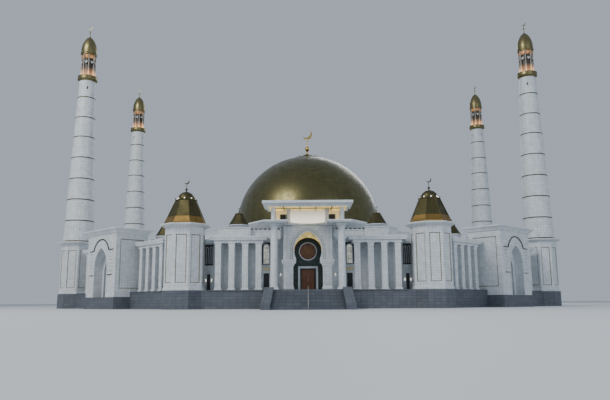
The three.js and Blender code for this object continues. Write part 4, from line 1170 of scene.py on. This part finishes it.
plain_post = drawn_up("post", 32, [
    (0.07, 1.6802), (0.07, 1.70), (0.058, 1.708), (0.06, 1.716), (0.055, 1.722), (0.0545, 1.955),
    (0.059, 1.96), (0.059, 1.968), (0.055, 1.973), (0.055, 1.992), (0.064, 2.0), (0.064, 2.0203),
])
flared_post = drawn_up("post", 32, [
    (0.062, 1.6802), (0.062, 1.70), (0.05, 1.708), (0.052, 1.716), (0.045, 1.722), (0.0435, 1.90),
    (0.048, 1.905), (0.048, 1.915), (0.0435, 1.92), (0.046, 1.942), (0.054, 1.97), (0.067, 1.99),
    (0.07, 1.996), (0.07, 2.0203),
])
canopy_posts = [
    repeated(post, [shift(hand * x, y) for hand in (-1, 1)])
    for post, x, y in ((plain_post, 0.85, -8.0), (flared_post, 0.485, -7.65))
]
settle("canopy_posts", canopy_posts, smooth_marble, stands_for=["portal_canopy"])

storey_foot = 1.6802
storey_head = 2.0203
storey = (storey_foot, storey_head)
lit_wall = block("wall", 0.52, (-7.497, -7.437), storey)
sunk(lit_wall, faces_front, [(0.03, 0), (0.006, -0.006)])
# The wall's warm glow is painted light.
lit_marble = warm_lit(
    "lit_pale_marble", [(0.72, 0.72, 0.70), (0.78, 0.78, 0.76)], 0.4, 1.68, 0.5, 1.0, (1.0, 0.93, 0.78)
)
settle("canopy_back_wall", lit_wall, lit_marble, stands_for=["portal_canopy"])
# The piers' yellow tone and warm glow are painted light.
gold_lit = warm_lit(
    "gold_lit_marble", [(0.66, 0.58, 0.40), (0.74, 0.66, 0.48)], 0.4, 1.72, 0.55, 0.5, (1.0, 0.74, 0.34)
)
link_front = -7.40
door_head = 1.93
lintel_z = (door_head, storey_head)
rear_piers = block_pair("pier", (0.72, 0.815), depths(link_front, 0.03, 0.07), storey, 0.004)
rear_piers += block_pair("lintel", (0.523, 0.718), depths(link_front, 0.03, -0.0005), lintel_z, 0.004)
settle("canopy_rear_piers", rear_piers, gold_lit)
# Dark panels of painted shade fill the openings between the lit wall and the piers.
rear_shade_panels = block_pair("panel", (0.58, 0.698), depths(link_front, 0.012, -0.0005), (storey_foot, door_head))
settle("canopy_rear_painted_shade_panels", rear_shade_panels, dark_bronze_and_painted_shade)

# Entrance
# The wall in the screen is clad in dark green marble. A round window with a brown and gold rosette sits
# over the door, leaded into a white marble ring, and a white marble frame stands round the doorway.
green_marble = facing_stone(
    "dark_green_marble", (0.16, 0.13), [(0.012, 0.03, 0.024), (0.02, 0.042, 0.034)], (0.05, 0.075, 0.06),
    0.28, 9,
)
dress(["entrance_wall_over"], green_marble)
over_low, over_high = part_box("entrance_wall_over")
entrance_front = over_low.y
doorway_half = 0.1725
slab_x = (doorway_half, over_high.x)
lining_x = (screen_half - 0.085, screen_half - 0.0795)
side_lining_y = (screen_back + 0.001, entrance_front - 0.001)
dark_slabs = block_pair("slab", slab_x, depths(entrance_front, 0.004, 0.0005), (0.0006, 0.545), 0.001)
dark_slabs += block_pair("slab", lining_x, side_lining_y, (0.0006, screen_top - 0.001), 0.001)
settle("entrance_dark_slabs", dark_slabs, green_marble)
jamb_x = (0.167, doorway_half - 0.0008)
jambs = block_pair("jamb", jamb_x, depths(entrance_front, -0.03, 0.089), (0.0008, 0.5415), 0.0005)
settle("entrance_door_jambs", jambs, dark_bronze_and_painted_shade)
door_surround = framed_opening("frame", 0.205, 0.555, 0.052, depths(entrance_front, 0.03, 0.004))
sunk(door_surround, faces_front, [(0.01, 0), (0.003, -0.005)])
settle("entrance_frame", door_surround, smooth_marble)

rose_front = entrance_front - 0.015
rose_node = ["entrance_rose_window"]
rose_ring = disc("ring", 0.2365, 0.085, (0, rose_front + 0.0425, arch_centre), 96)
sunk(rose_ring, faces_front, [(0.004, 0.004), (0.02, 0), (0.004, -0.02)])
bpy.ops.object.shade_smooth_by_angle(angle=math.radians(30))
settle("rose_window_ring", rose_ring, smooth_marble, stands_for=rose_node)
rose_glass = lit_glass("brown_leaded_glass", (0.115, 0.045, 0.02), 0.2)
rose_pane = disc("pane", 0.2082, 0.008, (0, rose_front + 0.012, arch_centre), 96)
settle("rose_window_pane", rose_pane, rose_glass, stands_for=rose_node)
petal_y = (-0.004, 0.004)
petal = arch_band("petal", 0.024, (0.06, 0.105, 0.165), petal_y, 0.006)
small_petal = arch_band("petal", 0.012, (0.02, 0.04, 0.062), petal_y, 0.004)
rosette = [
    repeated(model, [Matrix.Rotation(math.tau * i / count, 4, "Y") for i in range(count)])
    for model, count in ((petal, 12), (small_petal, 8))
]
rosette.append(disc("boss", 0.018, 0.012, (0, 0, 0)))
settle("rose_window_rosette", rosette, band_gold, [shift(y=rose_front + 0.006, z=arch_centre)])

# Entrance doors
# Two leaves of oiled hardwood under one arched panel, framed and carved with rows of small sunk squares.
# They turn on pivots at their outer edges, and each has a turned gilded pull.
leaf_low, leaf_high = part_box("door_leaf_right")
leaf_front = leaf_low.y
leaf_z = (leaf_low.z - podium_top, leaf_high.z - 0.001 - podium_top)
oiled_wood = plain_finish(
    "oiled_carved_hardwood", [(0.13, 0.048, 0.019), (0.22, 0.085, 0.033)], 0.42, 0, 34, 0.4,
    stretch=(3, 3, 0.35),
)
raised_y = depths(leaf_front, 0, 0.007)
arched = arch_band("arched", 0.139, (0.012, 0.36, 0.512), raised_y, 0.013)
carved(arched, block("cut", (-0.3, 0.008), (-7.3, -7.0), (-0.1, 0.7), 0.0005))
leaf_parts = [
    block("board", (0.001, 0.1625), depths(leaf_front, -0.005, 0.0115), leaf_z, 0.001),
    arched,
    block("bar", (0.008, 0.016), raised_y, (0.012, 0.52), 0.001),
    block("bar", (0.008, 0.152), raised_y, (0.012, 0.024), 0.001),
]
square_y = depths(leaf_front, -0.001, 0.006)
for row in range(8):
    for column in range(3):
        x = 0.045 + 0.04 * column
        z = 0.055 + 0.042 * row
        square = block("square", (x - 0.015, x + 0.015), square_y, (z - 0.016, z + 0.016), 0.0015)
        leaf_parts.append(sunk(square, faces_front, [(0.004, 0), (0.002, -0.002)]))
leaf = joined("leaf", leaf_parts)
pull_rod = drawn_up("pull", 16, [
    (0.0035, 0.245), (0.0035, 0.25), (0.0022, 0.254), (0.003, 0.275), (0.0022, 0.296), (0.0035, 0.30),
    (0.0035, 0.305),
])
pins = [
    block("pin", (0.0115, 0.0145), depths(leaf_front, 0.005, 0.004), (z, z + 0.003), 0.0005)
    for z in (0.247, 0.30)
]
pull = joined("pull", [placed(pull_rod, shift(0.013, leaf_front - 0.005)), *pins])
for name, half in zip(("right", "left"), halves):
    door = f"door_{name}"
    covered = [f"door_leaf_{name}"]
    settle(
        f"entrance_leaf_{name}", copied(leaf, half), oiled_wood, body=door, stands_for=covered
    )
    settle(f"entrance_pull_{name}", copied(pull, half), trim_gold, body=door)
for model in (leaf, pull):
    bpy.data.objects.remove(model)

# Floor
# A plain pale studio floor, which isn't part of the building.
floor_finish, tree, shader = new_finish("pale_floor", 0.7)
fill(shader, {"Base Color": (0.62, 0.64, 0.66, 1)})
floor = start("floor", bpy.ops.mesh.primitive_plane_add, size=400, location=(0, 0, -0.0005))
floor.data.materials.append(floor_finish)

# Light
# A large soft light high on the left in front, weaker ones on the right and behind, and an even pale
# surround.
world = bpy.data.worlds.new("soft_surround")
bpy.context.scene.world = world
world.use_nodes = True
fill(world.node_tree.nodes["Background"], {"Color": (0.72, 0.82, 0.95, 1), "Strength": 0.55})


def soft_light(name, place, size, power, tone):
    data = bpy.data.lights.new(name, "AREA")
    data.size = size
    data.energy = power
    data.color = tone
    lamp = bpy.data.objects.new(name, data)
    aim = (-Vector(place)).to_track_quat("-Z", "Y").to_matrix().to_4x4()
    lamp.matrix_world = Matrix.Translation(place) @ aim
    bpy.context.scene.collection.objects.link(lamp)


soft_light("key_light", (-17, -21, 20), 12, 5000, (1, 0.96, 0.9))
soft_light("fill_light", (14, -26, 9), 14, 1300, (0.9, 0.95, 1))
soft_light("back_light", (8, 24, 16), 14, 1800, (0.95, 0.97, 1))
